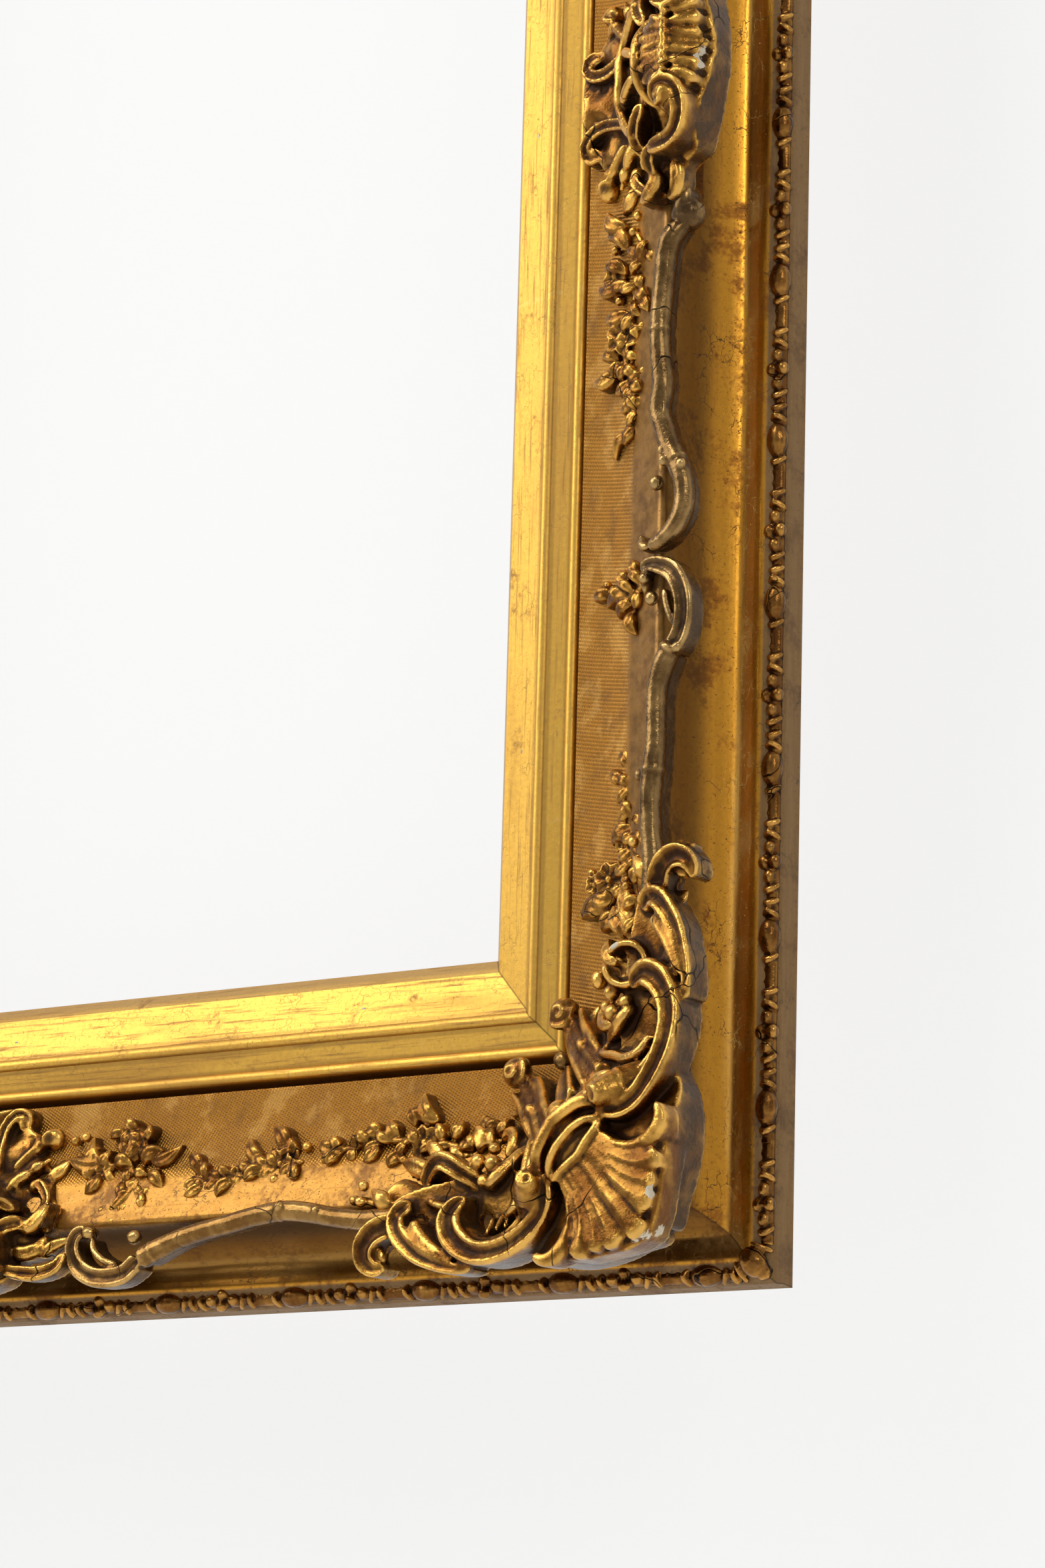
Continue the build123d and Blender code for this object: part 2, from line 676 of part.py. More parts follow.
def hanger_ring():
    # A squared ring whose top bar turns in the knuckle
    across, back, up = hanger_axis()
    wide = (ring_inner_width + ring_wire) / 2
    places = [(0, 0), (wide - ring_corner, 0), (wide, -ring_corner), (wide, ring_corner - ring_drop),
              (wide - ring_corner, -ring_drop), (0, -ring_drop)]
    path = Plane.XZ * Polyline(*places)
    half = sweep(Plane.YZ * RegularPolygon(ring_wire / 2, ring_sides), path=path, transition=Transition.RIGHT)
    return Pos(across, back, up) * (half + half.mirror(Plane.YZ))


def quarters(name, solid):
    # The lower right piece and its three mirror images
    flipped = solid.mirror(Plane.YZ)
    return {
        f"{name}_lower_right": solid, f"{name}_lower_left": flipped,
        f"{name}_upper_right": solid.mirror(Plane.XY), f"{name}_upper_left": flipped.mirror(Plane.XY),
    }


def build():
    parts = {}
    pegs = lap_pegs()
    screws = [screw(x, 2 * running_gap + button_thickness, z) for x, z, heading in button_places().values()]
    across, back, up = hanger_axis()
    top = up + ring_wire / 2 + running_gap + knuckle_wall
    for share in hanger_screw_shares:
        for side in (1, -1):
            screws.append(screw(side * across, hanger_thickness, top - share * hanger_length))
    brad_sets = []
    for side in SIDES:
        length = side_length(side)
        nails = brads(length, brad_width)
        brad_sets += [turned(nail, side) for nail in nails]
        parts[f"moulding_{side}"] = turned(mitred(moulding_section(), length), side)
        parts[f"slip_{side}"] = turned(mitred(slip_section(), length).cut(*nails), side)
        bar = turned(carcass_bar(length, side in ("left", "right")), side)
        parts[f"carcass_{side}"] = bar.cut(*pegs, *screws, *[turned(nail, side) for nail in nails])
        parts[f"bead_strip_{side}"] = turned(bead_run(length), side)
    mouldings = [parts["moulding_bottom"], parts["moulding_right"]]
    strips = [parts["bead_strip_bottom"], parts["bead_strip_right"]]
    corner = corner_cartouche(mouldings)
    centre = centre_cartouche(mitred(moulding_section(), frame_width))
    foot, flank = turned(centre, "bottom"), turned(centre, "right")
    lower = branch([on_stile(s) for s in lower_branch_shares], on_stile(lower_knot_share), mouldings + [corner])
    upper = branch([on_stile(s) for s in upper_branch_shares], on_stile(upper_knot_share), mouldings + [flank])
    base = branch([on_rail(s) for s in foot_branch_shares], on_rail(foot_knot_share), mouldings + [corner, foot])
    stile_spray = spray(stile_stem_shares, stile_leaf_shares, on_stile, mouldings[1], [corner, flank, lower, upper])
    rail_spray = spray(rail_stem_shares, rail_leaf_shares, on_rail, mouldings[0], [corner, foot, base])
    parts.update(quarters("bead_bud", bead_bud(mouldings + strips)))
    parts.update(quarters("corner", corner))
    parts.update({f"centre_{side}": turned(centre, side) for side in SIDES})
    parts.update(quarters("stile_scroll", lower))
    parts.update(quarters("stile_branch", upper))
    parts.update(quarters("rail_branch", base))
    parts.update(quarters("stile_spray", stile_spray))
    parts.update(quarters("rail_spray", rail_spray))
    parts.update({name: turn_button(*place) for name, place in button_places().items()})
    plate, hoop = hanger(), hanger_ring()
    parts.update({"hanger_right": plate, "hanger_left": plate.mirror(Plane.YZ)})
    parts.update({"ring_right": hoop, "ring_left": hoop.mirror(Plane.YZ)})
    parts["screws"] = Compound(children=screws)
    parts["slip_brads"] = Compound(children=brad_sets)
    parts["lap_pegs"] = Compound(children=pegs)
    return parts


os.makedirs("parts", exist_ok=True)
for node, shape in build().items():
    export_step(shape, f"parts/{node}.step")
    print(node, len(shape.solids()), round(shape.volume))
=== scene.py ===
import bpy
import bmesh
import math
import random
import numpy as np
from mathutils import Matrix, Vector


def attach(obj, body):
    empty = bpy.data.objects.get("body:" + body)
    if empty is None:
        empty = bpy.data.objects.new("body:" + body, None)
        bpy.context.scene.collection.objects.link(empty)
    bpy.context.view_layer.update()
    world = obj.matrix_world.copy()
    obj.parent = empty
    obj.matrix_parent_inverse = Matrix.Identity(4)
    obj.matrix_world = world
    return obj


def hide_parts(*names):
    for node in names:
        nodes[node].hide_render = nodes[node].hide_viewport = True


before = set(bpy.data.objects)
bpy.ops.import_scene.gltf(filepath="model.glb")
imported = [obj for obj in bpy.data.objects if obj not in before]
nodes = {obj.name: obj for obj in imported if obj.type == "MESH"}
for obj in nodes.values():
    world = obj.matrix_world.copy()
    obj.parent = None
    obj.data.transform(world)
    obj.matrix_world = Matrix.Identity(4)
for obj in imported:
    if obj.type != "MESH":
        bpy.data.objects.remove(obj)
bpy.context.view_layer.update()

# Everything carved is drawn in millimetres as (u, v, h):
# u in from the outer edge, v along the edge, h out from the back of the moulding.
frameSize = {"width": 840.0, "height": 1046.0, "proud": 16.0, "tallest": 95.8}


def linkObject(name, data):
    obj = bpy.data.objects.new(name, data)
    bpy.context.scene.collection.objects.link(obj)
    return obj


# Node helper: every call returns the output socket that the next one takes
class Graph:
    def __init__(self, tree):
        self.tree = tree

    def add(self, kind, inputs=None, **settings):
        node = self.tree.nodes.new(kind)
        for key, value in settings.items():
            setattr(node, key, value)
        for key, value in (inputs or {}).items():
            self.put(node.inputs[key], value)
        return node

    def put(self, socket, value):
        if isinstance(value, bpy.types.NodeSocket):
            self.tree.links.new(value, socket)
        elif isinstance(value, (tuple, list)) and len(value) == 3 and len(socket.default_value) == 4:
            socket.default_value = (*value, 1)
        else:
            socket.default_value = value

    def calc(self, operation, first, second=0.0):
        return self.add("ShaderNodeMath", {0: first, 1: second}, operation=operation).outputs[0]

    def plus(self, first, second):
        return self.calc("ADD", first, second)

    def minus(self, first, second):
        return self.calc("SUBTRACT", first, second)

    def times(self, first, *others):
        for other in others:
            first = self.calc("MULTIPLY", first, other)
        return first

    def most(self, first, *others):
        for other in others:
            first = self.calc("MAXIMUM", first, other)
        return first

    def fade(self, value, low, high, bottom=0.0, top=1.0):
        inputs = {"Value": value, "From Min": low, "From Max": high, "To Min": bottom, "To Max": top}
        return self.add("ShaderNodeMapRange", inputs, interpolation_type="SMOOTHSTEP").outputs[0]

    def band(self, value, rise, fall):
        # 0 to 1 over rise, and back to 0 over fall
        return self.times(self.fade(value, *rise), self.fade(value, *fall))

    def tint(self, mask, first, second):
        return self.add("ShaderNodeMix", {0: mask, 6: first, 7: second}, data_type="RGBA").outputs[2]

    def wash(self, color, mask, tone):
        # tone is (strength, colour)
        return self.tint(self.times(mask, tone[0]), color, tone[1])

    def lerp(self, mask, first, second):
        return self.add("ShaderNodeMix", {0: mask, 2: first, 3: second}, data_type="FLOAT").outputs[0]

    def noise(self, place, scale, detail=3.0, rough=0.5, warp=0.0):
        inputs = {"Vector": place, "Scale": scale, "Detail": detail, "Roughness": rough, "Distortion": warp}
        return self.add("ShaderNodeTexNoise", inputs).outputs[0]

    def patches(self, place, noise, limits):
        # Noise cut to soft patches
        return self.fade(self.noise(place, *noise), *limits)

    def cracks(self, place, scale, width):
        inputs = {"Vector": place, "Scale": scale}
        cells = self.add("ShaderNodeTexVoronoi", inputs, feature="DISTANCE_TO_EDGE").outputs["Distance"]
        return self.fade(cells, 0.0, width, 1.0, 0.0)

    def vector(self, operation, inputs):
        return self.add("ShaderNodeVectorMath", inputs, operation=operation).outputs[0]

    def warped(self, place, scale, amount):
        drift = self.add("ShaderNodeTexNoise", {"Vector": place, "Scale": scale}).outputs["Color"]
        return self.vector("ADD", {0: place, 1: self.vector("SCALE", {0: drift, 3: amount})})

    def stretched(self, place, x, y, z):
        return self.add("ShaderNodeMapping", {"Vector": place, "Scale": (x, y, z)}).outputs[0]

    def place(self):
        return self.add("ShaderNodeTexCoord").outputs["Object"]

    def stored(self, name):
        return self.add("ShaderNodeAttribute", attribute_name=name).outputs["Fac"]

    def group(self, tree, inputs=None):
        return self.add("ShaderNodeGroup", inputs, node_tree=tree).outputs


# Camera and studio
studio = {
    "cameraPlace": (1.44646, -1.60886, -0.73315),
    "cameraRight": (0.80868, 0.58759, 0.02770),
    "cameraUp": (0.10571, -0.19149, 0.97579),
    "lens": 105,
    "floorLevel": -1.02, "wallGap": 0.09, "wallSize": 6, "floorSize": 16,
    "paper": (0.95, 0.95, 0.945), "paperGlow": 0.86,
    "skyStrength": 0.30,
    "skySeen": {"Is Camera Ray": 0.97, "Is Glossy Ray": 0.42, "Is Transmission Ray": 0.97},
    "lamps": {
        "keyBox": {"place": (-2.0, -2.1, 1.3), "size": 2.2, "power": 52},
        "topBox": {"place": (-0.3, -1.9, 2.2), "size": 0.7, "power": 30},
        "sideBox": {"place": (2.3, -1.6, 1.0), "size": 0.6, "power": 12},
    },
    "lampAim": (0.15, 0, -0.2),
}


def buildCamera():
    data = bpy.data.cameras.new("camera")
    data.lens = studio["lens"]
    data.sensor_width = 36
    camera = linkObject("camera", data)
    right, up = Vector(studio["cameraRight"]).normalized(), Vector(studio["cameraUp"])
    back = right.cross(up).normalized()
    turn = Matrix((right, back.cross(right), back)).transposed().to_4x4()
    camera.matrix_world = Matrix.Translation(studio["cameraPlace"]) @ turn
    bpy.context.scene.camera = camera


def studioPaper():
    # Pale paper that is lit but also glows to the camera, and is clear from behind
    paper = bpy.data.materials.new("studioPaper")
    paper.use_nodes = True
    nodesHere, g = paper.node_tree.nodes, Graph(paper.node_tree)
    shader = nodesHere["Principled BSDF"]
    g.put(shader.inputs["Base Color"], studio["paper"])
    g.put(shader.inputs["Roughness"], 0.9)
    glow = g.add("ShaderNodeEmission", {"Color": studio["paper"]})
    ray = g.add("ShaderNodeLightPath").outputs
    direct = g.most(ray["Is Camera Ray"], ray["Is Glossy Ray"], ray["Is Transmission Ray"])
    mix = {0: g.times(direct, studio["paperGlow"]), 1: shader.outputs[0], 2: glow.outputs[0]}
    seen = g.add("ShaderNodeMixShader", mix)
    clear = g.add("ShaderNodeBsdfTransparent")
    behind = g.add("ShaderNodeNewGeometry").outputs["Backfacing"]
    oneSided = g.add("ShaderNodeMixShader", {0: behind, 1: seen.outputs[0], 2: clear.outputs[0]})
    g.put(nodesHere["Material Output"].inputs["Surface"], oneSided.outputs[0])
    return paper


def studioPlane(name, size, place, tilt, material):
    data = bpy.data.meshes.new(name)
    data.from_pydata([(-size, -size, 0), (size, -size, 0), (size, size, 0), (-size, size, 0)], [],
                     [(0, 1, 2, 3)])
    data.materials.append(material)
    obj = linkObject(name, data)
    obj.rotation_euler = tilt
    obj.location = place


def buildStudio():
    paper = studioPaper()
    level, wall = studio["floorLevel"], studio["wallSize"]
    studioPlane("studioWall", wall, (0, studio["wallGap"], level + wall), (math.radians(90), 0, 0), paper)
    studioPlane("studioFloor", studio["floorSize"], (0, 0, level), (0, 0, 0), paper)
    world = bpy.data.worlds.new("studioWorld")
    bpy.context.scene.world = world
    world.use_nodes = True
    g = Graph(world.node_tree)
    sky = world.node_tree.nodes["Background"].inputs
    ray = g.add("ShaderNodeLightPath").outputs
    g.put(sky["Color"], (1, 1, 1))
    g.put(sky["Strength"], g.most(studio["skyStrength"], *[g.times(ray[kind], share)
                                                           for kind, share in studio["skySeen"].items()]))
    for name, own in studio["lamps"].items():
        lamp = bpy.data.lights.new(name, "AREA")
        lamp.shape = "SQUARE"
        lamp.size = own["size"]
        lamp.energy = own["power"]
        obj = linkObject(name, lamp)
        obj.location = own["place"]
        obj.rotation_euler = (Vector(studio["lampAim"]) - obj.location).to_track_quat("-Z", "Y").to_euler()


buildCamera()
buildStudio()
bpy.context.scene.view_settings.view_transform = "Standard"
print("studio ready")


def newGroup(name, inputs, outputs):
    tree = bpy.data.node_groups.new(name, "ShaderNodeTree")
    for socket, kind, value in inputs:
        made = tree.interface.new_socket(socket, in_out="INPUT", socket_type="NodeSocket" + kind)
        if kind == "Color":
            made.default_value = (*value, 1)
        elif kind != "Vector":
            made.default_value = value
    for socket, kind in outputs:
        tree.interface.new_socket(socket, in_out="OUTPUT", socket_type="NodeSocket" + kind)
    graph = Graph(tree)
    entry = graph.add("NodeGroupInput")
    leave = graph.add("NodeGroupOutput")
    return tree, graph, entry.outputs, leave.inputs


# Where a point lies on the frame: in from the edge, along the rail, and the line of the mitre
def frameZones():
    tree, g, come, go = newGroup("frameZones", [], [
        ("Inward", "Float"), ("Along", "Float"), ("Upright", "Float"), ("Mitre", "Float"),
        ("Rail Place", "Vector")])
    x, y, z = g.add("ShaderNodeSeparateXYZ", {0: g.place()}).outputs
    fromSide = g.minus(frameSize["width"] / 2, g.times(g.calc("ABSOLUTE", x), 1000))
    fromFoot = g.minus(frameSize["height"] / 2, g.times(g.calc("ABSOLUTE", z), 1000))
    upright = g.calc("LESS_THAN", fromSide, fromFoot)
    inward = g.calc("MINIMUM", fromSide, fromFoot)
    along = g.lerp(upright, x, z)
    g.put(go["Inward"], inward)
    g.put(go["Along"], along)
    g.put(go["Upright"], upright)
    g.put(go["Mitre"], g.fade(g.calc("ABSOLUTE", g.minus(fromSide, fromFoot)), 0.25, 0.8, 1.0, 0.0))
    # The stiles are shifted along, so that they don't repeat the rails' marks
    spot = {0: g.times(inward, 0.001), 1: g.plus(along, g.times(upright, 3.7)), 2: y}
    g.put(go["Rail Place"], g.add("ShaderNodeCombineXYZ", spot).outputs[0])
    return tree


# Old leaf over red clay: rubbed places, streaks along the rail, specks and fine cracks
def agedGilding():
    tree, g, come, go = newGroup("agedGilding", [
        ("Place", "Vector", None), ("Leaf", "Color", (0.72, 0.44, 0.12)),
        ("Worn", "Color", (0.30, 0.14, 0.04)), ("Grime", "Color", (0.03, 0.018, 0.01)),
        ("Rubbing", "Float", 0.4), ("Specks", "Float", 0.5), ("Cracks", "Float", 0.5),
        ("Streaks", "Float", 0.5)],
        [("Color", "Color"), ("Roughness", "Float"), ("Metallic", "Float"), ("Height", "Float")])
    place, leafColor, wornColor = come["Place"], come["Leaf"], come["Worn"]
    broad = g.noise(place, 38, 4, 0.6, 0.3)
    fine = g.noise(place, 420, 3, 0.6)
    grain = g.noise(place, 1500, 2, 0.6)
    streak = g.noise(g.stretched(place, 700, 26, 240), 1.0, 3, 0.6)
    mottled = g.plus(g.times(broad, 0.75), g.times(fine, 0.25))
    rubbed = g.fade(g.minus(mottled, g.minus(0.74, g.times(come["Rubbing"], 0.34))), -0.05, 0.09)
    worn = g.most(rubbed, g.times(g.fade(streak, 0.52, 0.72), come["Streaks"], 0.8))
    crackle = g.cracks(g.stretched(g.warped(place, 300.0, 0.004), 1, 0.45, 1), 210, 0.035)
    crackle = g.times(crackle, g.patches(place, (55, 2), (0.48, 0.66)), come["Cracks"])
    speck = g.times(g.patches(place, (900, 2, 0.7), (0.62, 0.70)), come["Specks"])
    dark = g.most(speck, crackle)
    color = g.tint(g.fade(fine, 0.25, 0.75), leafColor, g.tint(0.22, leafColor, wornColor))
    color = g.wash(color, worn, (0.85, wornColor))
    g.put(go["Color"], g.wash(color, dark, (0.9, come["Grime"])))
    rough = g.plus(g.plus(0.26, g.times(worn, 0.22)), g.times(dark, 0.25))
    g.put(go["Roughness"], g.plus(rough, g.times(grain, 0.12)))
    g.put(go["Metallic"], g.minus(1.0, g.plus(g.times(dark, 0.7), g.times(worn, 0.25))))
    relief = g.minus(g.plus(g.times(fine, 0.35), g.times(grain, 0.18)), g.times(dark, 0.5))
    g.put(go["Height"], g.plus(relief, g.times(streak, 0.12)))
    return tree


# Cast net of the panel: small slanted dots in rows
def pressedNet():
    tree, g, come, go = newGroup("pressedNet", [
        ("Inward", "Float", 0.0), ("Along", "Float", 0.0), ("Pitch", "Float", 1.35)],
        [("Height", "Float"), ("Pit", "Float")])
    step = g.calc("DIVIDE", 2 * math.pi, come["Pitch"])
    along = g.times(come["Along"], 1000)
    slant = g.plus(come["Inward"], g.times(along, 0.55))
    cross = g.minus(along, g.times(come["Inward"], 0.25))
    first = g.calc("SINE", g.times(slant, step))
    second = g.calc("SINE", g.times(cross, g.times(step, 0.8)))
    woven = g.plus(g.times(first, 0.5), g.times(second, 0.35))
    g.put(go["Height"], woven)
    g.put(go["Pit"], g.fade(woven, -0.25, -0.7))
    return tree


groups = {"zones": frameZones(), "gilding": agedGilding(), "net": pressedNet()}


def newMaterial(name):
    material = bpy.data.materials.new(name)
    material.use_nodes = True
    graph = Graph(material.node_tree)
    return material, graph, material.node_tree.nodes["Principled BSDF"].inputs


def bumped(graph, shader, height, strength, distance):
    bump = graph.add("ShaderNodeBump", {"Height": height, "Strength": strength, "Distance": distance})
    graph.put(shader["Normal"], bump.outputs[0])


# Parts of the section, in mm in from the outer edge: where each comes in, and where it goes out
section = {
    "edge": (10.5, 9.0),
    "glint": ((13.5, 17), (24, 20)),
    "cove": ((10, 12), (36, 34)),
    "wall": ((27.5, 33), (36.5, 34.6)),
    "crown": ((33.8, 36.5), (67, 54)),
    "panel": ((56, 63), (98.5, 97)),
    "gap": (96.6, 98.2),
    "grooves": [((113.6, 114.8), (117.4, 116.2)), ((120.8, 121.8), (124.2, 122.8)),
                ((105.2, 106.2), (108.6, 107.2))],
    "sight": (142.2, 144.5),
}

# Moulding and slip: the old gilding's own sockets, and tones as (strength, colour)
mouldingLook = {
    "gilding": {"Leaf": (0.68, 0.315, 0.034), "Worn": (0.30, 0.105, 0.014),
                "Rubbing": 0.56, "Specks": 0.8, "Cracks": 1.0, "Streaks": 0.35},
    # glint: painted highlight, a bright band along the cove
    "glint": (0.72, (0.98, 0.62, 0.19)),
    # painted shade: the cove of the top and bottom rails is darkened
    "railCoveShade": (0.68, (0.085, 0.034, 0.009)),
    # painted shade: dark band on the steep wall up to the ridge
    "wall": (0.72, (0.055, 0.030, 0.014)),
    "crownColors": ((0.25, 0.135, 0.045), (0.075, 0.040, 0.018)),
    "crownShares": (0.45, 0.80),
    "netColors": ((0.46, 0.215, 0.036), (0.10, 0.045, 0.016)),
    "netRubbed": (0.55, (0.17, 0.085, 0.030)),
    "netBright": (0.45, (0.80, 0.48, 0.14)),
    "panelShare": 0.82,
    "gap": (0.9, (0.018, 0.011, 0.006)),
    "edgeColors": ((0.045, 0.030, 0.018), (0.19, 0.135, 0.080)),
    "edgeShare": 0.78,
    "mitre": (0.55, (0.03, 0.018, 0.010)),
}


def mouldingMaterial():
    material, g, shader = newMaterial("oldGildedMoulding")
    own = mouldingLook
    zones = g.group(groups["zones"])
    inward, rail, upright = zones["Inward"], zones["Rail Place"], zones["Upright"]
    gilt = g.group(groups["gilding"], {"Place": rail, **own["gilding"]})
    drift = g.noise(g.stretched(rail, 60, 6, 20), 1.0, 6, 0.68)
    # Painted highlight: a bright wavering band along the cove
    glint = g.band(g.plus(inward, g.fade(drift, 0.3, 0.7, -2.5, 2.5)), *section["glint"])
    color = g.wash(gilt["Color"], g.times(glint, g.fade(drift, 0.28, 0.68, 0.3, 1.0)), own["glint"])
    # Painted shade over the rails' cove
    color = g.wash(color, g.times(g.band(inward, *section["cove"]), g.minus(1.0, upright)), own["railCoveShade"])
    # Painted shade on the ridge's wall
    wall = g.band(inward, *section["wall"])
    color = g.wash(color, wall, own["wall"])
    rise, fall = section["crown"]
    crown = g.times(g.fade(inward, *rise), g.fade(g.plus(inward, g.fade(drift, 0.3, 0.7, -3.0, 3.0)), *fall))
    greyed = g.tint(g.patches(rail, (160, 4, 0.6), (0.35, 0.7)), *own["crownColors"])
    color = g.tint(g.times(crown, g.lerp(upright, *own["crownShares"])), color, greyed)
    net = g.group(groups["net"], {"Inward": inward, "Along": zones["Along"]})
    panel = g.band(inward, *section["panel"])
    netted = g.tint(net["Pit"], *own["netColors"])
    netted = g.wash(netted, g.patches(rail, (70, 4, 0.6), (0.5, 0.7)), own["netRubbed"])
    netted = g.wash(netted, g.patches(rail, (46, 5, 0.7), (0.50, 0.64)), own["netBright"])
    color = g.wash(color, panel, (own["panelShare"], netted))
    gap = g.fade(inward, *section["gap"])
    color = g.wash(color, gap, own["gap"])
    edge = g.fade(inward, *section["edge"])
    bare = g.tint(g.noise(g.stretched(rail, 900, 30, 400), 1.0, 4, 0.7), *own["edgeColors"])
    color = g.wash(color, edge, (own["edgeShare"], bare))
    g.put(shader["Base Color"], g.wash(color, zones["Mitre"], own["mitre"]))
    g.put(shader["Specular IOR Level"], 0.25)
    dull = g.most(g.times(crown, 0.3), g.most(gap, edge))
    g.put(shader["Metallic"], g.times(gilt["Metallic"], g.minus(0.92, g.times(dull, 0.75))))
    g.put(shader["Roughness"], g.plus(gilt["Roughness"], g.times(g.most(wall, edge), 0.22)))
    height = g.plus(g.times(gilt["Height"], 0.35), g.times(net["Height"], panel, 0.9))
    bumped(g, shader, height, 0.9, 0.0004)
    return material


slipLook = {
    "gilding": {"Leaf": (0.76, 0.44, 0.075), "Worn": (0.30, 0.155, 0.045),
                "Rubbing": 0.30, "Specks": 0.35, "Cracks": 0.35, "Streaks": 0.9},
    "leavesPerMetre": 12.5,
    "lap": (0.30, (0.86, 0.58, 0.20)),
    "groove": (0.42, (0.19, 0.095, 0.030)),
    "sight": (0.45, (0.34, 0.19, 0.07)),
    "tarnish": (0.40, (0.36, 0.19, 0.055)),
    "mitre": (0.6, (0.05, 0.030, 0.015)),
}


def slipMaterial():
    material, g, shader = newMaterial("brightGildedSlip")
    own = slipLook
    zones = g.group(groups["zones"])
    inward, rail = zones["Inward"], zones["Rail Place"]
    gilt = g.group(groups["gilding"], {"Place": rail, **own["gilding"]})
    # Broken lines where one leaf of gold laps the next
    lap = g.band(g.calc("FRACT", g.times(zones["Along"], own["leavesPerMetre"])), (0.0, 0.02), (0.05, 0.03))
    lap = g.times(lap, g.patches(rail, (5, 2, 0.5), (0.46, 0.60)),
                  g.patches(rail, (260, 3, 0.6), (0.42, 0.60)))
    groove = g.most(*[g.band(inward, *place) for place in section["grooves"]])
    tarnish = g.patches(g.stretched(rail, 30, 5, 30), (1.0, 4, 0.6), (0.52, 0.72))
    masks = {"lap": lap, "groove": groove, "sight": g.fade(inward, *section["sight"]), "tarnish": tarnish,
             "mitre": zones["Mitre"]}
    color = gilt["Color"]
    for key, mask in masks.items():
        color = g.wash(color, mask, own[key])
    g.put(shader["Base Color"], color)
    g.put(shader["Metallic"], g.times(gilt["Metallic"], 0.93))
    g.put(shader["Roughness"], g.plus(g.plus(gilt["Roughness"], 0.09), g.times(tarnish, 0.12)))
    bumped(g, shader, gilt["Height"], 0.7, 0.00025)
    return material


# Carved pieces: a bronzed brown body with painted highlight in gold on what stands proud and pale on the
# rims, painted shade in the hollows and on low side walls, bare plaster in the chips
carvedLook = {
    "carving": {"high": (0.84, 0.45, 0.085), "body": (0.155, 0.058, 0.010), "low": (0.020, 0.008, 0.004),
                "clay": 0.3},
    "branch": {"high": (0.46, 0.28, 0.10), "body": (0.115, 0.062, 0.022), "low": (0.020, 0.010, 0.006),
               "clay": 0.2},
    "railBranch": {"high": (0.66, 0.39, 0.12), "body": (0.165, 0.078, 0.020), "low": (0.024, 0.011, 0.005),
                   "clay": 0.2},
    "bead": {"high": (0.66, 0.33, 0.070), "body": (0.150, 0.060, 0.014), "low": (0.018, 0.008, 0.004),
             "clay": 0.45, "sunk": 0.02, "whole": True},
    "rim": (0.92, 0.66, 0.26),
    "clay": (0.13, 0.035, 0.014),
    "shadedSideWall": (0.062, 0.034, 0.015),
    "crack": (0.008, 0.005, 0.004),
    "plaster": ((0.74, 0.67, 0.52), (0.55, 0.46, 0.33)),
}


def carvedMaterial(name, kind):
    material, g, shader = newMaterial(name)
    look, own = carvedLook, carvedLook[kind]
    place, hollow, depth = g.place(), g.stored("hollow"), g.stored("depth")
    mottle = g.noise(place, 150, 4, 0.62)
    fine = g.noise(place, 620, 3, 0.6)
    spots = g.noise(place, 60, 3, 0.55)
    # lit is how proud a point stands: it places the painted highlight on raised parts and the painted shade
    # in the hollows
    lit = g.plus(g.minus(hollow, own.get("sunk", 0)), g.times(g.minus(mottle, 0.5), 0.55))
    low = g.fade(lit, 0.50, 0.22)
    color = g.tint(g.fade(spots, 0.42, 0.62), own["body"], g.tint(0.22, own["body"], own["high"]))
    color = g.wash(color, g.fade(fine, 0.55, 0.72), (own["clay"], look["clay"]))
    # Painted highlight: gold on raised parts, pale yellow on the most proud rims
    color = g.wash(color, g.fade(lit, 0.56, 0.90), (g.fade(spots, 0.36, 0.62, 0.38, 0.88), own["high"]))
    color = g.wash(color, g.fade(lit, 0.78, 1.02), (0.5, g.tint(0.30, own["high"], look["rim"])))
    # Painted shade in the hollows
    color = g.wash(color, low, (0.90, own["low"]))
    # Painted shade on side-facing walls, darker the lower they sit, and at the given dark spots
    color = g.wash(color, g.fade(depth, 0.45, 1.0), (g.fade(mottle, 0.38, 0.66, 0.95, 0.55),
                                                     look["shadedSideWall"]))
    crack = g.times(g.cracks(g.warped(place, 45.0, 0.02), 24, 0.010), g.patches(place, (17, 2), (0.47, 0.55)))
    color = g.tint(crack, color, look["crack"])
    metal = g.times(g.fade(low, 0.2, 0.9, 0.97, 0.78), g.fade(depth, 0.4, 1.0, 1.0, 0.72))
    rough = g.plus(g.plus(0.17, g.times(mottle, 0.22)), g.times(low, 0.26))
    if not own.get("whole"):
        ragged = g.fade(g.plus(g.stored("chip"), g.times(g.minus(fine, 0.5), 0.9)), 0.48, 0.56)
        color = g.tint(ragged, color, g.tint(g.noise(place, 300, 2), *look["plaster"]))
        metal = g.times(metal, g.minus(1.0, ragged))
        rough = g.lerp(ragged, rough, 0.85)
    g.put(shader["Base Color"], color)
    g.put(shader["Metallic"], metal)
    g.put(shader["Roughness"], rough)
    g.put(shader["Specular IOR Level"], 0.22)
    relief = g.minus(g.plus(g.times(mottle, 0.9), g.times(fine, 0.4)), g.times(crack, 0.8))
    bumped(g, shader, relief, 0.75, 0.0006)
    return material


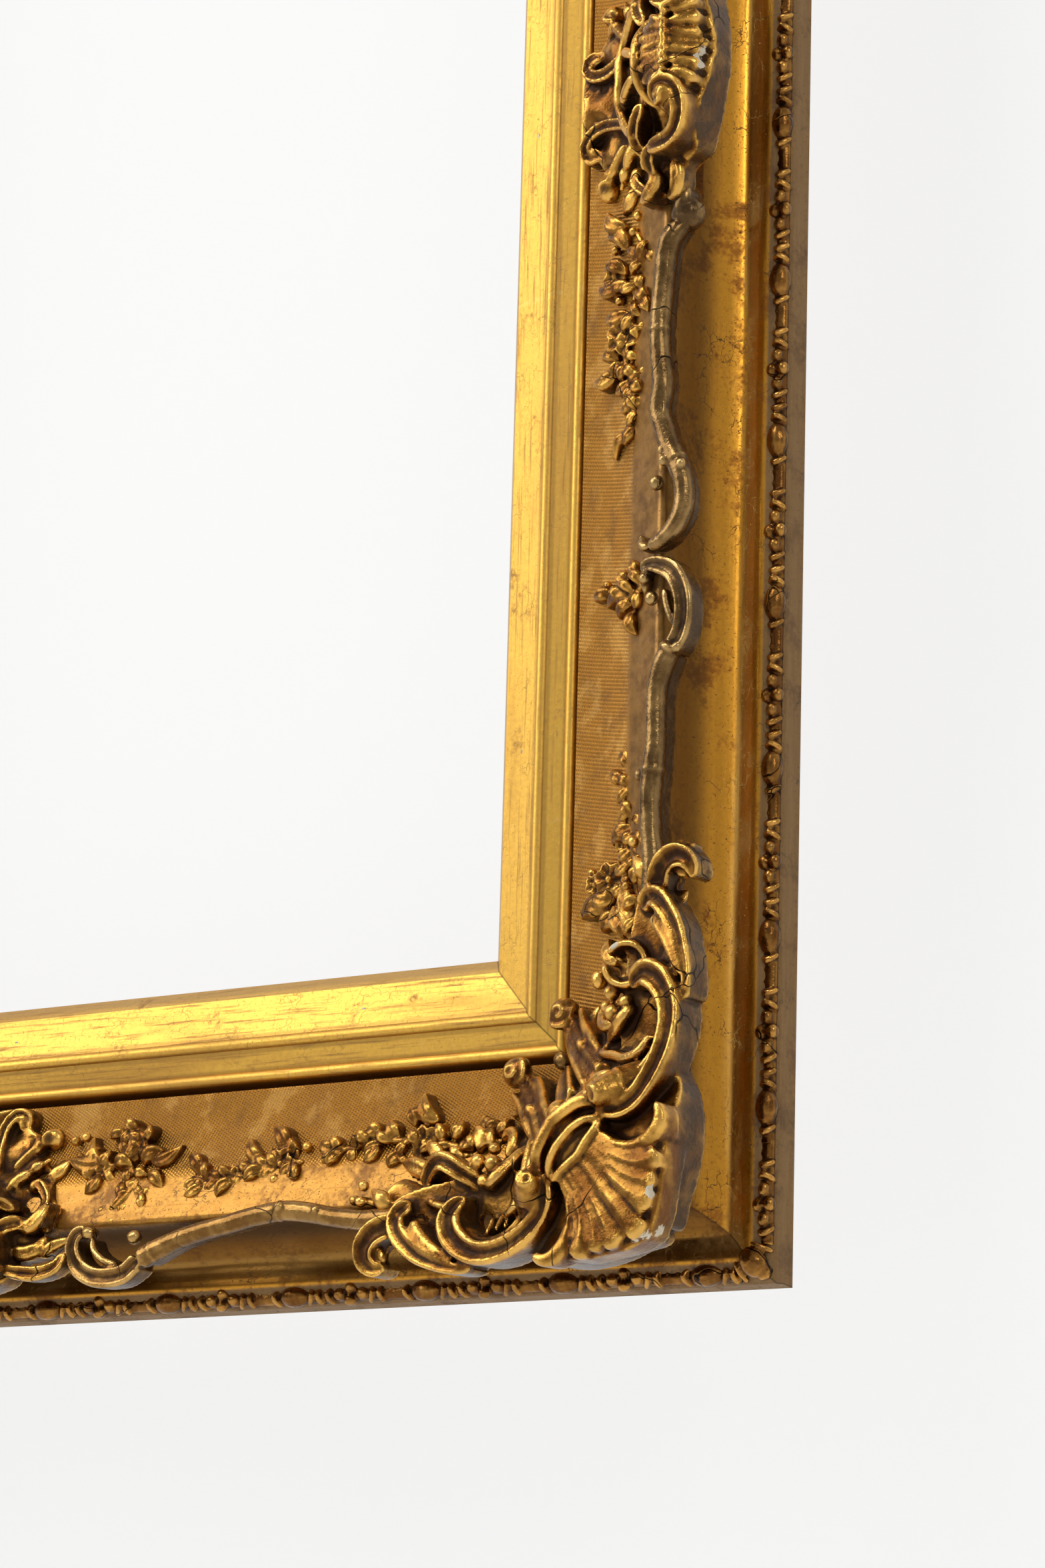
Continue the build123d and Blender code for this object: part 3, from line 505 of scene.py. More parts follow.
def woodMaterial(name, pale, dark, scale, axisScale):
    material, g, shader = newMaterial(name)
    place = g.place()
    turned = g.stretched(place, *axisScale)
    wave = {"Vector": turned, "Scale": scale, "Distortion": 11.0, "Detail": 3.0, "Detail Scale": 0.55}
    rings = g.add("ShaderNodeTexWave", wave, wave_type="BANDS", bands_direction="DIAGONAL").outputs["Fac"]
    pores = g.noise(g.stretched(turned, 6, 6, 6), 90, 3, 0.7)
    shown = g.patches(turned, (26, 3, 0.6), (0.3, 0.7, 0.35, 0.85))
    color = g.tint(g.times(rings, shown), pale, dark)
    color = g.wash(color, g.fade(pores, 0.52, 0.68), (0.45, dark))
    color = g.wash(color, g.patches(place, (9, 4, 0.65), (0.46, 0.70)), (0.4, (0.105, 0.070, 0.042)))
    g.put(shader["Base Color"], color)
    g.put(shader["Roughness"], g.plus(0.62, g.times(pores, 0.25)))
    bumped(g, shader, g.plus(g.times(rings, 0.4), pores), 0.5, 0.0004)
    return material


def metalMaterial(name, bright, stained, roughness, spotScale):
    material, g, shader = newMaterial(name)
    place = g.place()
    stain = g.patches(place, (spotScale, 4, 0.65), (0.42, 0.68))
    brush = g.noise(g.stretched(place, 300, 2400, 300), 1.0, 2, 0.6)
    g.put(shader["Base Color"], g.wash(bright, stain, (0.85, stained)))
    g.put(shader["Metallic"], g.minus(1.0, g.times(stain, 0.35)))
    g.put(shader["Roughness"], g.plus(roughness, g.plus(g.times(stain, 0.28), g.times(brush, 0.10))))
    bumped(g, shader, g.plus(brush, stain), 0.3, 0.0001)
    return material


finishes = {
    "moulding": mouldingMaterial(),
    "slip": slipMaterial(),
    "carving": carvedMaterial("bronzedGiltComposition", "carving"),
    "branch": carvedMaterial("greyedGiltBranch", "branch"),
    "railBranch": carvedMaterial("goldenBranch", "railBranch"),
    "bead": carvedMaterial("rubbedBeadStrip", "bead"),
    "pineLong": woodMaterial("oldPineUpright", (0.50, 0.325, 0.165), (0.30, 0.165, 0.070), 105, (1, 1, 0.04)),
    "pineCross": woodMaterial("oldPineCross", (0.48, 0.31, 0.155), (0.28, 0.155, 0.066), 105, (0.04, 1, 1)),
    "oak": woodMaterial("oakPegs", (0.30, 0.19, 0.09), (0.12, 0.065, 0.030), 260, (1, 0.3, 1)),
    "brass": metalMaterial("tarnishedBrass", (0.70, 0.48, 0.17), (0.42, 0.275, 0.095), 0.30, 210),
    "steel": metalMaterial("dulledSteel", (0.42, 0.40, 0.38), (0.13, 0.075, 0.045), 0.34, 260),
}

# Finish of each solid of the model by how its name starts; the first match counts
nodeFinishes = {
    "moulding": "moulding", "slip_brads": "steel", "slip": "slip", "screws": "steel", "lap_pegs": "oak",
    "carcass_left": "pineLong", "carcass_right": "pineLong", "carcass": "pineCross",
    "button": "brass", "hanger": "brass", "ring": "brass", "bead": "bead", "": "carving",
}


def dressNodes():
    for name, node in nodes.items():
        finish = next(finishes[nodeFinishes[start]] for start in nodeFinishes if name.startswith(start))
        for slot in node.material_slots:
            slot.material = finish


dressNodes()
print("materials ready")


# Carving tools: every stroke is a closed shape in (u, v, h), and carve() melts them into one skin
toolShapes = {
    "round": [(-1, 0), (-0.87, 0.5), (-0.5, 0.87), (0, 1), (0.5, 0.87), (0.87, 0.5), (1, 0)],
    "lobe": [(-1, 0), (-0.93, 0.55), (-0.62, 0.9), (0, 1), (0.62, 0.9), (0.93, 0.55), (1, 0)],
    "channel": [(-1, 0), (-0.98, 0.5), (-0.88, 0.85), (-0.70, 1), (-0.50, 0.86), (-0.28, 0.45), (0, 0.25),
                (0.28, 0.45), (0.50, 0.86), (0.70, 1), (0.88, 0.85), (0.98, 0.5), (1, 0)],
    "leaf": [(-1, 0.1), (-0.85, 0.55), (-0.5, 0.95), (-0.15, 0.85), (0, 0.45), (0.15, 0.85), (0.5, 0.95),
             (0.85, 0.55), (1, 0.1)],
    "ridge": [(-1, 0), (-0.6, 0.22), (-0.25, 0.75), (0, 1), (0.25, 0.75), (0.6, 0.22), (1, 0)],
    "cup": [(-1, 0.55), (-0.88, 1), (-0.7, 0.8), (-0.4, 0.2), (0, 0), (0.4, 0.2), (0.7, 0.8), (0.88, 1),
            (1, 0.55)],
}


def smoothPath(rows, step=1.5, closed=False):
    points = np.array(rows, float)
    if closed:
        padded = np.vstack([points[-1], points, points[0], points[1]])
    else:
        padded = np.vstack([2 * points[0] - points[1], points, 2 * points[-1] - points[-2]])
    runs = []
    for i in range(1, len(padded) - 2):
        before, start, end, after = padded[i - 1:i + 3]
        count = max(2, int(np.linalg.norm((end - start)[:3]) / step))
        t = np.linspace(0, 1, count, endpoint=False)[:, None]
        square = 2 * before - 5 * start + 4 * end - after
        cube = 3 * start - before - 3 * end + after
        runs.append(0.5 * (2 * start + (end - before) * t + square * t ** 2 + cube * t ** 3))
    if not closed:
        runs.append(points[-1:])
    return np.vstack(runs)


def unit(vectors):
    return vectors / np.maximum(np.linalg.norm(vectors, axis=-1, keepdims=True), 1e-9)


def rings(points):
    # Closed solid through rings of equal count, points[ring][corner]
    count, corners = points.shape[0], points.shape[1]
    faces = []
    for i in range(count - 1):
        for j in range(corners):
            k = (j + 1) % corners
            faces.append((i * corners + j, i * corners + k, (i + 1) * corners + k, (i + 1) * corners + j))
    faces.append(tuple(range(corners))[::-1])
    faces.append(tuple((count - 1) * corners + j for j in range(corners)))
    return points.reshape(-1, 3), faces


def stroke(rows, shape="round", relief=2.0, skirt=6.0, ends=(3.0, 3.0)):
    # rows are (u, v, h, half width); ends are the lengths over which the tips close
    path = smoothPath(rows)
    spine, wide = path[:, :3], np.maximum(path[:, 3], 0.2)
    along = unit(np.gradient(spine, axis=0))
    side = unit(np.cross(along, (0.0, 0.0, 1.0)))
    up = np.cross(side, along)
    gone = np.concatenate([[0], np.cumsum(np.linalg.norm(np.diff(spine, axis=0), axis=1))])
    left = gone[-1] - gone
    close = np.ones(len(gone))
    for run, length in ((gone, ends[0]), (left, ends[1])):
        if length > 0:
            close = np.minimum(close, np.sqrt(np.clip(1 - (1 - np.clip(run / length, 0, 1)) ** 2, 0.02, 1)))
    wide = wide * close
    if shape == "rod":
        angles = np.linspace(0, 2 * math.pi, 12, endpoint=False)
        outline, rise = [(math.cos(a), math.sin(a)) for a in angles], wide
    else:
        outline, rise = toolShapes[shape], relief * np.clip(wide / np.max(wide), 0.35, 1)
    points = [spine + side * (wide * x)[:, None] + up * (rise * y)[:, None] for x, y in outline]
    if shape != "rod":
        foot = np.array((0, 0, skirt))
        points.append(spine + side * (wide * 0.94)[:, None] - foot)
        points.append(spine - side * (wide * 0.94)[:, None] - foot)
    return rings(np.stack(points, axis=1))


def blob(place, radii, heading=(0, 1, 0), tip=0.0):
    # Round berry or pointed bud; tip pulls the far end to a point
    forward = unit(np.array(heading, float))
    side = unit(np.cross(forward, (0.0, 0.0, 1.0)) + 1e-6)
    up = np.cross(side, forward)
    turns, bands = 14, 9
    lines = []
    for i in range(bands):
        a = math.pi * (i + 0.5) / bands
        wide, reach = math.sin(a), -math.cos(a)
        wide *= 1 - tip * max(0, reach) ** 1.5
        ring = []
        for j in range(turns):
            b = 2 * math.pi * j / turns
            ring.append(np.array(place) + forward * reach * radii[1] * (1 + 0.25 * tip * max(0, reach))
                        + side * wide * math.cos(b) * radii[0] + up * wide * math.sin(b) * radii[2])
        lines.append(ring)
    return rings(np.array(lines))


def cone(base, top, baseRadius, topRadius, turns=2.2, cord=1.1):
    # Snail of a scroll: a cone with a spiral ridge and a sunk eye
    base, top = np.array(base, float), np.array(top, float)
    axis = unit(top - base)
    side = unit(np.cross(axis, (0.3, 1.0, 0.1)))
    other = np.cross(axis, side)
    shapes, lines = [], []
    for share, radius in ((0, baseRadius), (0.35, baseRadius * 0.92), (0.7, (baseRadius + topRadius) / 2),
                          (0.94, topRadius), (1.0, topRadius * 0.8)):
        ring = [base + (top - base) * share + radius * (side * math.cos(a) + other * math.sin(a))
                for a in np.linspace(0, 2 * math.pi, 20, endpoint=False)]
        lines.append(ring)
    shapes.append(rings(np.array(lines)))
    spiral = []
    for i in range(int(turns * 10) + 1):
        share = i / (turns * 10)
        a, radius = 2 * math.pi * turns * share, baseRadius + (topRadius - baseRadius) * share
        spot = base + (top - base) * share + (radius + 0.3) * (side * math.cos(a) + other * math.sin(a))
        spiral.append((*spot, cord * (1.15 - 0.3 * share)))
    shapes.append(stroke(spiral, "rod", ends=(1, 1)))
    eye = []
    for i in range(14):
        a, radius = 2 * math.pi * (turns + i / 9), topRadius * (1 - i / 15)
        eye.append((*(top + radius * 0.8 * (side * math.cos(a) + other * math.sin(a)) + axis * 0.4),
                    cord * 0.85))
    shapes.append(stroke(eye, "rod", ends=(0.5, 1)))
    return shapes


def levelAt(levels, u, v):
    known = np.array(levels, float)
    gap = (known[:, 0] - u) ** 2 + (known[:, 1] - v) ** 2 + 1.0
    weight = gap ** -1.6
    return float((known[:, 2] * weight).sum() / weight.sum())


def ground(outline, levels, low, pitch=3.0):
    # Slab under the carving: a cut-out shape with a rolling top
    bm = bmesh.new()
    rim = smoothPath([(u, v, 0) for u, v in outline], 2.5, closed=True)
    bm.faces.new([bm.verts.new(spot) for spot in rim])
    bmesh.ops.triangulate(bm, faces=bm.faces[:], ngon_method="EAR_CLIP")
    for axis in (0, 1):
        normal = (1, 0, 0) if axis == 0 else (0, 1, 0)
        at = float(rim[:, axis].min()) + pitch / 2
        while at < rim[:, axis].max():
            spot = tuple(at * n for n in normal)
            bmesh.ops.bisect_plane(bm, geom=bm.verts[:] + bm.edges[:] + bm.faces[:], plane_co=spot,
                                   plane_no=normal)
            at += pitch
    bm.verts.index_update()
    count = len(bm.verts)
    flat = np.array([vert.co[:] for vert in bm.verts])
    top, foot = flat.copy(), flat.copy()
    top[:, 2] = [levelAt(levels, u, v) for u, v in flat[:, :2]]
    foot[:, 2] = low
    faces = [tuple(v.index for v in face.verts) for face in bm.faces]
    under = [tuple(i + count for i in face)[::-1] for face in faces]
    walls = [(e.verts[0].index, e.verts[1].index, e.verts[1].index + count, e.verts[0].index + count)
             for e in bm.edges if e.is_boundary]
    bm.free()
    return np.vstack([top, foot]), faces + under + walls


def swapped(shapes):
    return [(points[:, [1, 0, 2]], faces) for points, faces in shapes]


def flipped(shapes):
    return [(points * np.array((1, -1, 1)), faces) for points, faces in shapes]


def leaf(start, end, wide, lift=1.2, bend=0.0, skirt=5.0, shape="leaf", relief=1.6):
    start, end = np.array(start, float), np.array(end, float)
    cross = np.array((-(end - start)[1], (end - start)[0], 0))
    rows = []
    for share, width, rise in ((0, 0.35, 0), (0.28, 0.92, 0.7), (0.55, 1.0, 1.0), (0.8, 0.62, 0.8),
                               (1.0, 0.12, 0.3)):
        spot = start + (end - start) * share + cross * bend * math.sin(math.pi * share)
        rows.append((spot[0], spot[1], spot[2] + lift * rise, wide * width))
    return stroke(rows, shape, relief, skirt, (1.0, 1.5))


def flower(place, reach, petals=5, turn=0.0):
    u, v, h = place
    shapes = [blob((u, v, h + 1.0), (reach * 0.24, reach * 0.24, reach * 0.24))]
    for i in range(petals):
        a = turn + 2 * math.pi * i / petals
        far = (u + reach * math.cos(a), v + reach * math.sin(a), h + 0.6)
        near = (u + reach * 0.15 * math.cos(a), v + reach * 0.15 * math.sin(a), h - 0.3)
        shapes.append(leaf(near, far, reach * 0.36, 1.0, skirt=4, shape="cup", relief=1.3))
    return shapes


def sideSpace(points):
    # (u, t, h) in mm, from the middle of the right side, into the frame's metres
    high = np.minimum(points[:, 2], frameSize["tallest"])
    across = frameSize["width"] / 2 - np.maximum(points[:, 0], 0.05)
    return np.stack([across / 1000, -(frameSize["proud"] + high) / 1000, points[:, 1] / 1000], axis=1)


def frameSpace(points):
    # (u, v, h) in mm, from the lower right corner, into the frame's metres
    placed = sideSpace(points)
    placed[:, 2] = (np.maximum(points[:, 1], 0.05) - frameSize["height"] / 2) / 1000
    return placed


def sideMove(side):
    # Turns a piece of the right side round to another side
    angle, shift = {"right": (0, 0), "left": (math.pi, 0), "bottom": (math.pi / 2, -1),
                    "top": (-math.pi / 2, 1)}[side]
    rise = shift * (frameSize["height"] - frameSize["width"]) / 2000
    return Matrix.Translation((0, 0, rise)) @ Matrix.Rotation(angle, 4, "Y")


def meshFrom(name, shapes, convert):
    points, faces, offset = [], [], 0
    for spots, cells in shapes:
        points.append(convert(spots))
        faces += [tuple(i + offset for i in cell) for cell in cells]
        offset += len(spots)
    data = bpy.data.meshes.new(name)
    data.from_pydata(np.vstack(points).tolist(), [], faces)
    return data


# Painted highlight and painted shade follow how far a point stands proud of the smoothed surface:
# rounds of smoothing: (mm that count as fully proud, share of the result)
shadingRounds = {4: (0.34, 0.42), 26: (1.5, 0.58)}


def storeChipsAndShading(data, convert, chips=(), deep=90.0, darkSpots=()):
    count = len(data.vertices)
    place, normal = np.empty(count * 3, np.float32), np.empty(count * 3, np.float32)
    data.vertices.foreach_get("co", place)
    data.vertex_normals.foreach_get("vector", normal)
    place, normal = place.reshape(-1, 3).astype(float), normal.reshape(-1, 3)
    ends = np.empty(len(data.edges) * 2, np.int32)
    data.edges.foreach_get("vertices", ends)
    first, second = ends.reshape(-1, 2).T
    degree = np.maximum(np.bincount(ends, minlength=count), 1)[:, None]
    relaxed, score = place.copy(), np.zeros(count)
    for turn in range(1, max(shadingRounds) + 1):
        relaxed = np.stack([np.bincount(first, line[second], count) + np.bincount(second, line[first], count)
                            for line in relaxed.T], axis=1) / degree
        if turn in shadingRounds:
            full, share = shadingRounds[turn]
            score += np.clip(((place - relaxed) * normal).sum(axis=1) * 1000 / full, -1, 1) * share
    values = {"hollow": 0.5 + 0.5 * score}
    # Painted shade on side-facing walls, stronger the lower they sit
    wall = np.clip((0.42 - np.abs(normal[:, 1])) / 0.3, 0, 1)
    height = -place[:, 1] * 1000 - frameSize["proud"]
    values["depth"] = wall * np.clip((deep - height) / 14, 0, 1)
    # Dark spots: around each (u, v, h, radius) the side-wall shade colour is laid as well
    for u, v, h, radius in darkSpots:
        spot = convert(np.array([[u, v, h]]))[0]
        near = np.exp(-((np.linalg.norm(place - spot, axis=1) * 1000 / radius) ** 4))
        values["depth"] = np.maximum(values["depth"], near * 0.86)
    chip = np.zeros(count)
    for u, v, h, radius in chips:
        spot = convert(np.array([[u, v, h]]))[0]
        chip = np.maximum(chip, np.exp(-((np.linalg.norm(place - spot, axis=1) * 1000 / radius) ** 2)))
    values["chip"] = chip
    for key, value in values.items():
        data.attributes.new(key, "FLOAT", "POINT").data.foreach_set("value", value.astype(np.float32))


def carve(name, shapes, voxel=1.0, smooth=2, finish="carving", chips=(), deep=90.0, convert=frameSpace,
          darkSpots=()):
    data = meshFrom(name, shapes, convert)
    obj = linkObject(name, data)
    melt = obj.modifiers.new("melt", "REMESH")
    melt.mode = "VOXEL"
    melt.voxel_size = voxel / 1000 * 1
    melt.use_smooth_shade = True
    ease = obj.modifiers.new("ease", "SMOOTH")
    ease.factor, ease.iterations = 0.5, smooth
    graph = bpy.context.evaluated_depsgraph_get()
    skin = bpy.data.meshes.new_from_object(obj.evaluated_get(graph))
    obj.modifiers.clear()
    obj.data = skin
    skin.name = name
    bpy.data.meshes.remove(data)
    skin.materials.clear()
    skin.materials.append(finishes[finish])
    skin.polygons.foreach_set("use_smooth", [True] * len(skin.polygons))
    storeChipsAndShading(skin, convert, chips, deep, darkSpots)
    return obj


def mirroredCopy(obj, name, x=1, z=1):
    data = obj.data.copy()
    data.transform(Matrix.Diagonal((x, 1, z, 1)))
    if x * z < 0:
        data.flip_normals()
    return linkObject(name, data)


def belong(obj, slot, *replaced):
    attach(obj, "frame")
    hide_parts(*replaced)


def fourQuarters(obj, stem, slot, *kinds):
    for up, z in (("lower", 1), ("upper", -1)):
        for side, x in (("right", 1), ("left", -1)):
            piece = obj if x * z == 1 and z == 1 else mirroredCopy(obj, stem, x, z)
            piece.name = f"{stem}_{up}_{side}_piece"
            belong(piece, slot, *[f"{kind}_{up}_{side}" for kind in kinds])


# Smooth skins of the four mouldings, mitred at the corners
mouldingRun = {
    "foot": [(0.0, 0.0), (1.1, 5.4), (0.6, 10.2), (1.1, 11.2), (5.0, 13.4), (9.4, 15.8)],
    "cove": [(10.8, 16.5), (13.7, 16.3), (18.3, 15.1), (21.8, 15.3), (24.6, 17.9), (27.8, 22.2), (31.1, 28.4),
             (33.2, 34.5), (33.9, 41.0), (34.2, 47.6), (34.7, 51.4), (36.2, 53.5), (38.4, 53.9), (41.2, 52.8),
             (46, 50.8), (52, 48.3), (57.2, 45.9)],
    "panel": [(58.4, 45.1), (63, 42.7), (70, 39.0), (77, 35.6), (84, 32.6), (91, 30.1), (96.4, 28.6),
              (97.15, 27.8)],
    "back": [(97.15, 4.05), (18.05, 4.05), (18.05, 0.0)],
    "stations": 60, "ripple": 0.16,
}


def buildMouldings():
    own = mouldingRun
    cove = [tuple(spot[:2]) for spot in smoothPath([(u, h, 0) for u, h in own["cove"]], 1.1)]
    panel = [tuple(spot[:2]) for spot in smoothPath([(u, h, 0) for u, h in own["panel"]], 2.2)]
    profile = np.array(own["foot"] + cove + panel + own["back"])
    dice = random.Random(2)
    for name in ("right", "left", "bottom", "top"):
        length = frameSize["height" if name in ("right", "left") else "width"]
        waves = [(dice.uniform(0.010, 0.05), dice.uniform(0, 6.3),
                  dice.uniform(-0.05, 0.05)) for i in range(4)]
        points = []
        for share in np.linspace(-1, 1, own["stations"]):
            free = 1 - abs(share) ** 8
            row = []
            for u, h in profile:
                run = share * (length / 2 - u)
                sway = sum(math.sin(run * speed + start + u * slant) for speed, start, slant in waves)
                sway *= own["ripple"] / 2
                shown = free * (1 if 12 < u < 96 and h > 14 else 0)
                row.append((u + sway * shown * 0.3, run, h - abs(sway) * shown))
            points.append(row)
        if name in ("right", "left"):
            side = 1 if name == "right" else -1
            spots = [[(side * (frameSize["width"] / 2 - u), -frameSize["proud"] - h, side * run)
                      for u, run, h in row] for row in points]
        else:
            side = 1 if name == "bottom" else -1
            spots = [[(-side * run, -frameSize["proud"] - h, side * (u - frameSize["height"] / 2))
                      for u, run, h in row] for row in points]
        spots, faces = rings(np.array(spots) / 1000)
        data = bpy.data.meshes.new(f"moulding_{name}_piece")
        data.from_pydata(spots.tolist(), [], faces)
        data.materials.append(finishes["moulding"])
        bm = bmesh.new()
        bm.from_mesh(data)
        bmesh.ops.recalc_face_normals(bm, faces=bm.faces[:])
        bm.to_mesh(data)
        bm.free()
        data.polygons.foreach_set("use_smooth", [True] * len(data.polygons))
        piece = linkObject(f"moulding_{name}_piece", data)
        data.set_sharp_from_angle(angle=math.radians(38))
        belong(piece, "gilt_wood", f"moulding_{name}")
    print("mouldings run")


buildMouldings()


# Corner cartouche: a shell over the mitre, held between two C scrolls
corner = {
    "levels": [
        (46, 46, 86), (54, 54, 85.5), (50, 58, 86), (59, 59, 84.5), (45, 62, 85), (30, 30, 86), (15, 15, 88),
        (10, 35, 87), (8, 55, 86), (20, 60, 81), (30, 72, 76), (15, 85, 75), (27, 90, 65), (27, 103, 60),
        (27, 113, 61), (8, 105, 73), (20, 125, 69), (12, 135, 69), (22, 150, 65), (30, 160, 59),
        (15, 168, 61), (36, 135, 54), (50, 136, 46), (40, 115, 56), (50, 105, 55), (55, 90, 58), (62, 75, 62),
        (66, 66, 68), (80, 80, 46), (72, 97, 42), (85, 105, 35), (92, 92, 33), (60, 120, 43), (70, 120, 38),
        (60, 150, 40), (60, 165, 39), (40, 168, 54)],
    "overhang": [(17.8, 17.8), (8.9, 29.6), (4.5, 44), (3.2, 59.2), (5.5, 72.5), (10.5, 84.4), (9.4, 103.6),
                 (13, 120), (14, 133), (15, 150), (12, 166), (14.6, 175), (26, 168), (36, 165), (42, 150),
                 (46, 120), (48, 90), (60, 60)],
    "body": [(33, 33), (34, 60), (34, 120), (33.5, 160), (40, 174), (50, 165), (60, 150), (62, 122),
             (68, 112), (78, 108), (84, 101), (87, 87)],
    "overhangLow": 61, "bodyLow": 31,
    "voxel": 0.95,
    "chips": [(6.4, 29, 95, 3.4), (5, 21.6, 94, 3.4), (4.6, 16.5, 91, 4.6), (9, 9.4, 91, 5.6),
              (15.6, 8.6, 92, 2.6), (7.6, 13.4, 84, 4.2), (48, 138, 67, 3.0)],
    "darkSpots": [(92.6, 116.6, 37.4, 9), (116.6, 92.6, 37.4, 9), (97, 97, 32, 9), (43.4, 129.4, 57, 7),
             (129, 44, 54, 6), (78, 100, 40, 8), (100, 78, 40, 8)],
}


def cornerHalf(stile):
    lift = random.Random(3 if stile else 5)
    shapes = []
    flutes = [
        [(42.5, 48, 90.5, 1.5), (30, 38, 91.5, 2.6), (19, 30.5, 93, 3.9), (7.6, 23.2, 94.2, 5.3)],
        [(40, 50.5, 90.5, 1.4), (30, 42.5, 91, 2.4), (20, 36.5, 92.3, 3.5), (5.8, 32.6, 93.6, 4.8)],
        [(38.5, 53, 90, 1.3), (30, 46.5, 90.8, 2.1), (20, 42.2, 92, 2.9), (11, 41.5, 93.2, 4.2),
         (3.6, 43.8, 93.4, 4.8)],
        [(36.5, 55.5, 89.5, 1.2), (29, 50.5, 90.3, 1.9), (19.5, 48.6, 91.2, 2.6), (10.5, 50.3, 92.3, 3.6),
         (5.2, 54.6, 93.4, 3.5), (3.9, 60, 94, 2.7), (6.2, 65.4, 93.4, 2.0)],
    ]
    for rows in flutes:
        shapes.append(stroke(rows, "lobe", 2.3, 11, (2, 2.4)))
        shapes.append(stroke([(u, v, h + 1.6, w * 0.30) for u, v, h, w in rows[1:]], "ridge", 1.0, 4, (6, 5)))
    for near, far in zip(flutes, flutes[1:]):
        fillet = []
        for i in range(4):
            a, b = near[min(i, len(near) - 1)], far[min(i, len(far) - 1)]
            fillet.append(((a[0] + b[0]) / 2, (a[1] + b[1]) / 2, (a[2] + b[2]) / 2 + 0.2, 0.45 + 0.12 * i))
        shapes.append(stroke(fillet, "round", 1.9, 6, (3, 2)))
    shapes.append(stroke([(13.4, 13.4, 89, 3.0), (9.6, 22, 90, 3.0), (8.0, 32.6, 89.6, 3.0),
                          (6.2, 43, 89.4, 2.8), (6.2, 52, 89, 2.4)],
                         "round", 1.2, 14, (0, 3)))
    # Rope at the shell's root, and the double band that frames it on the inside
    shapes += [stroke(*row) for row in (
        ([(46, 46, 90.5, 2.3), (42, 52, 90.5, 2.2), (38.5, 57, 89.5, 2.1), (37, 61, 88.5, 1.8)], "round", 2.4,
         9, (0, 3)),
        ([(54, 54, 90, 2.1), (50, 57.5, 90.2, 2.1), (45, 60.3, 90, 2.0), (40.5, 61.2, 89.2, 1.9),
          (37, 60.6, 88.4, 1.5)], "round", 2.3, 10, (0, 3)),
        ([(61.5, 61.5, 87.5, 3.2), (55, 65.5, 87.8, 3.2), (48.5, 68.6, 87.8, 3.1), (42, 68.8, 87, 2.8),
          (37.6, 66.6, 86, 2.3)], "lobe", 2.6, 16, (0, 3)),
    )]
    # C scroll with its two rims
    band = [(37, 80, 82, 2.2), (39.4, 73.4, 85.6, 3.4), (36, 66.4, 86.8, 4.4), (29, 65.3, 86.6, 4.7),
            (22.5, 68.6, 85.6, 4.8), (17, 75.8, 84.2, 4.9), (13.2, 84, 82.4, 5.0), (10.9, 93, 80.4, 5.1),
            (10.4, 103, 78.6, 5.3), (12.8, 111.6, 77, 5.8), (18.4, 119.2, 75.4, 6.4), (25.6, 122.8, 74, 6.2),
            (31.6, 121.4, 72, 4.6), (35.6, 117.6, 70.6, 2.2)]
    shapes.append(stroke(band, "channel", 3.6, 17, (2.5, 3.5)))
    inner = [(30.5, 78.5, 78, 1.2), (25.2, 81.8, 78.6, 1.5), (20, 87.5, 77.6, 1.7), (16.6, 95.3, 76.2, 1.8),
             (16, 104.2, 75, 1.8), (18.4, 110.4, 73.8, 1.7), (22.6, 114.4, 72.6, 1.3)]
    shapes.append(stroke(inner, "round", 2.0, 12, (2, 3)))
    shapes += cone((27.5, 77.2, 70), (38, 70.4, 92.6), 10.4, 5.4, 1.6, 1.3)
    # Ribs that fall from the band into the bowl
    for i, v in enumerate((84.5, 90, 95.6, 101, 106.4)):
        start = 21 - 0.8 * abs(i - 2)
        shapes.append(stroke([(start, v, 74.5 - 1.1 * i, 1.1), (start + 4, v + 1.0, 70 - i, 1.2),
                              (start + 8.5, v + 1.4, 65.5 - 0.5 * i, 0.8)], "round", 1.5, 6, (1.5, 2)))
    shapes += [stroke(*row) for row in (
        ([(26.4, 98.2, 69, 1.8), (29.9, 91, 71.5, 2.2), (38.7, 89, 69, 2.3), (48, 91.5, 64, 2.2),
          (57, 93.4, 59, 1.8), (61.5, 95.5, 55, 1.2)], "round", 2.2, 10),
        ([(40, 81.6, 75, 2.0), (46.4, 81.4, 74, 2.5), (53.6, 80, 70.5, 2.4), (60, 77, 66, 1.8)], "round", 2.2,
         10),
        ([(46, 73.6, 82, 1.6), (52, 72.6, 80, 2.2), (58.6, 70, 77, 2.0), (62, 66.5, 76, 1.4)], "round", 2.0,
         12),
    )]
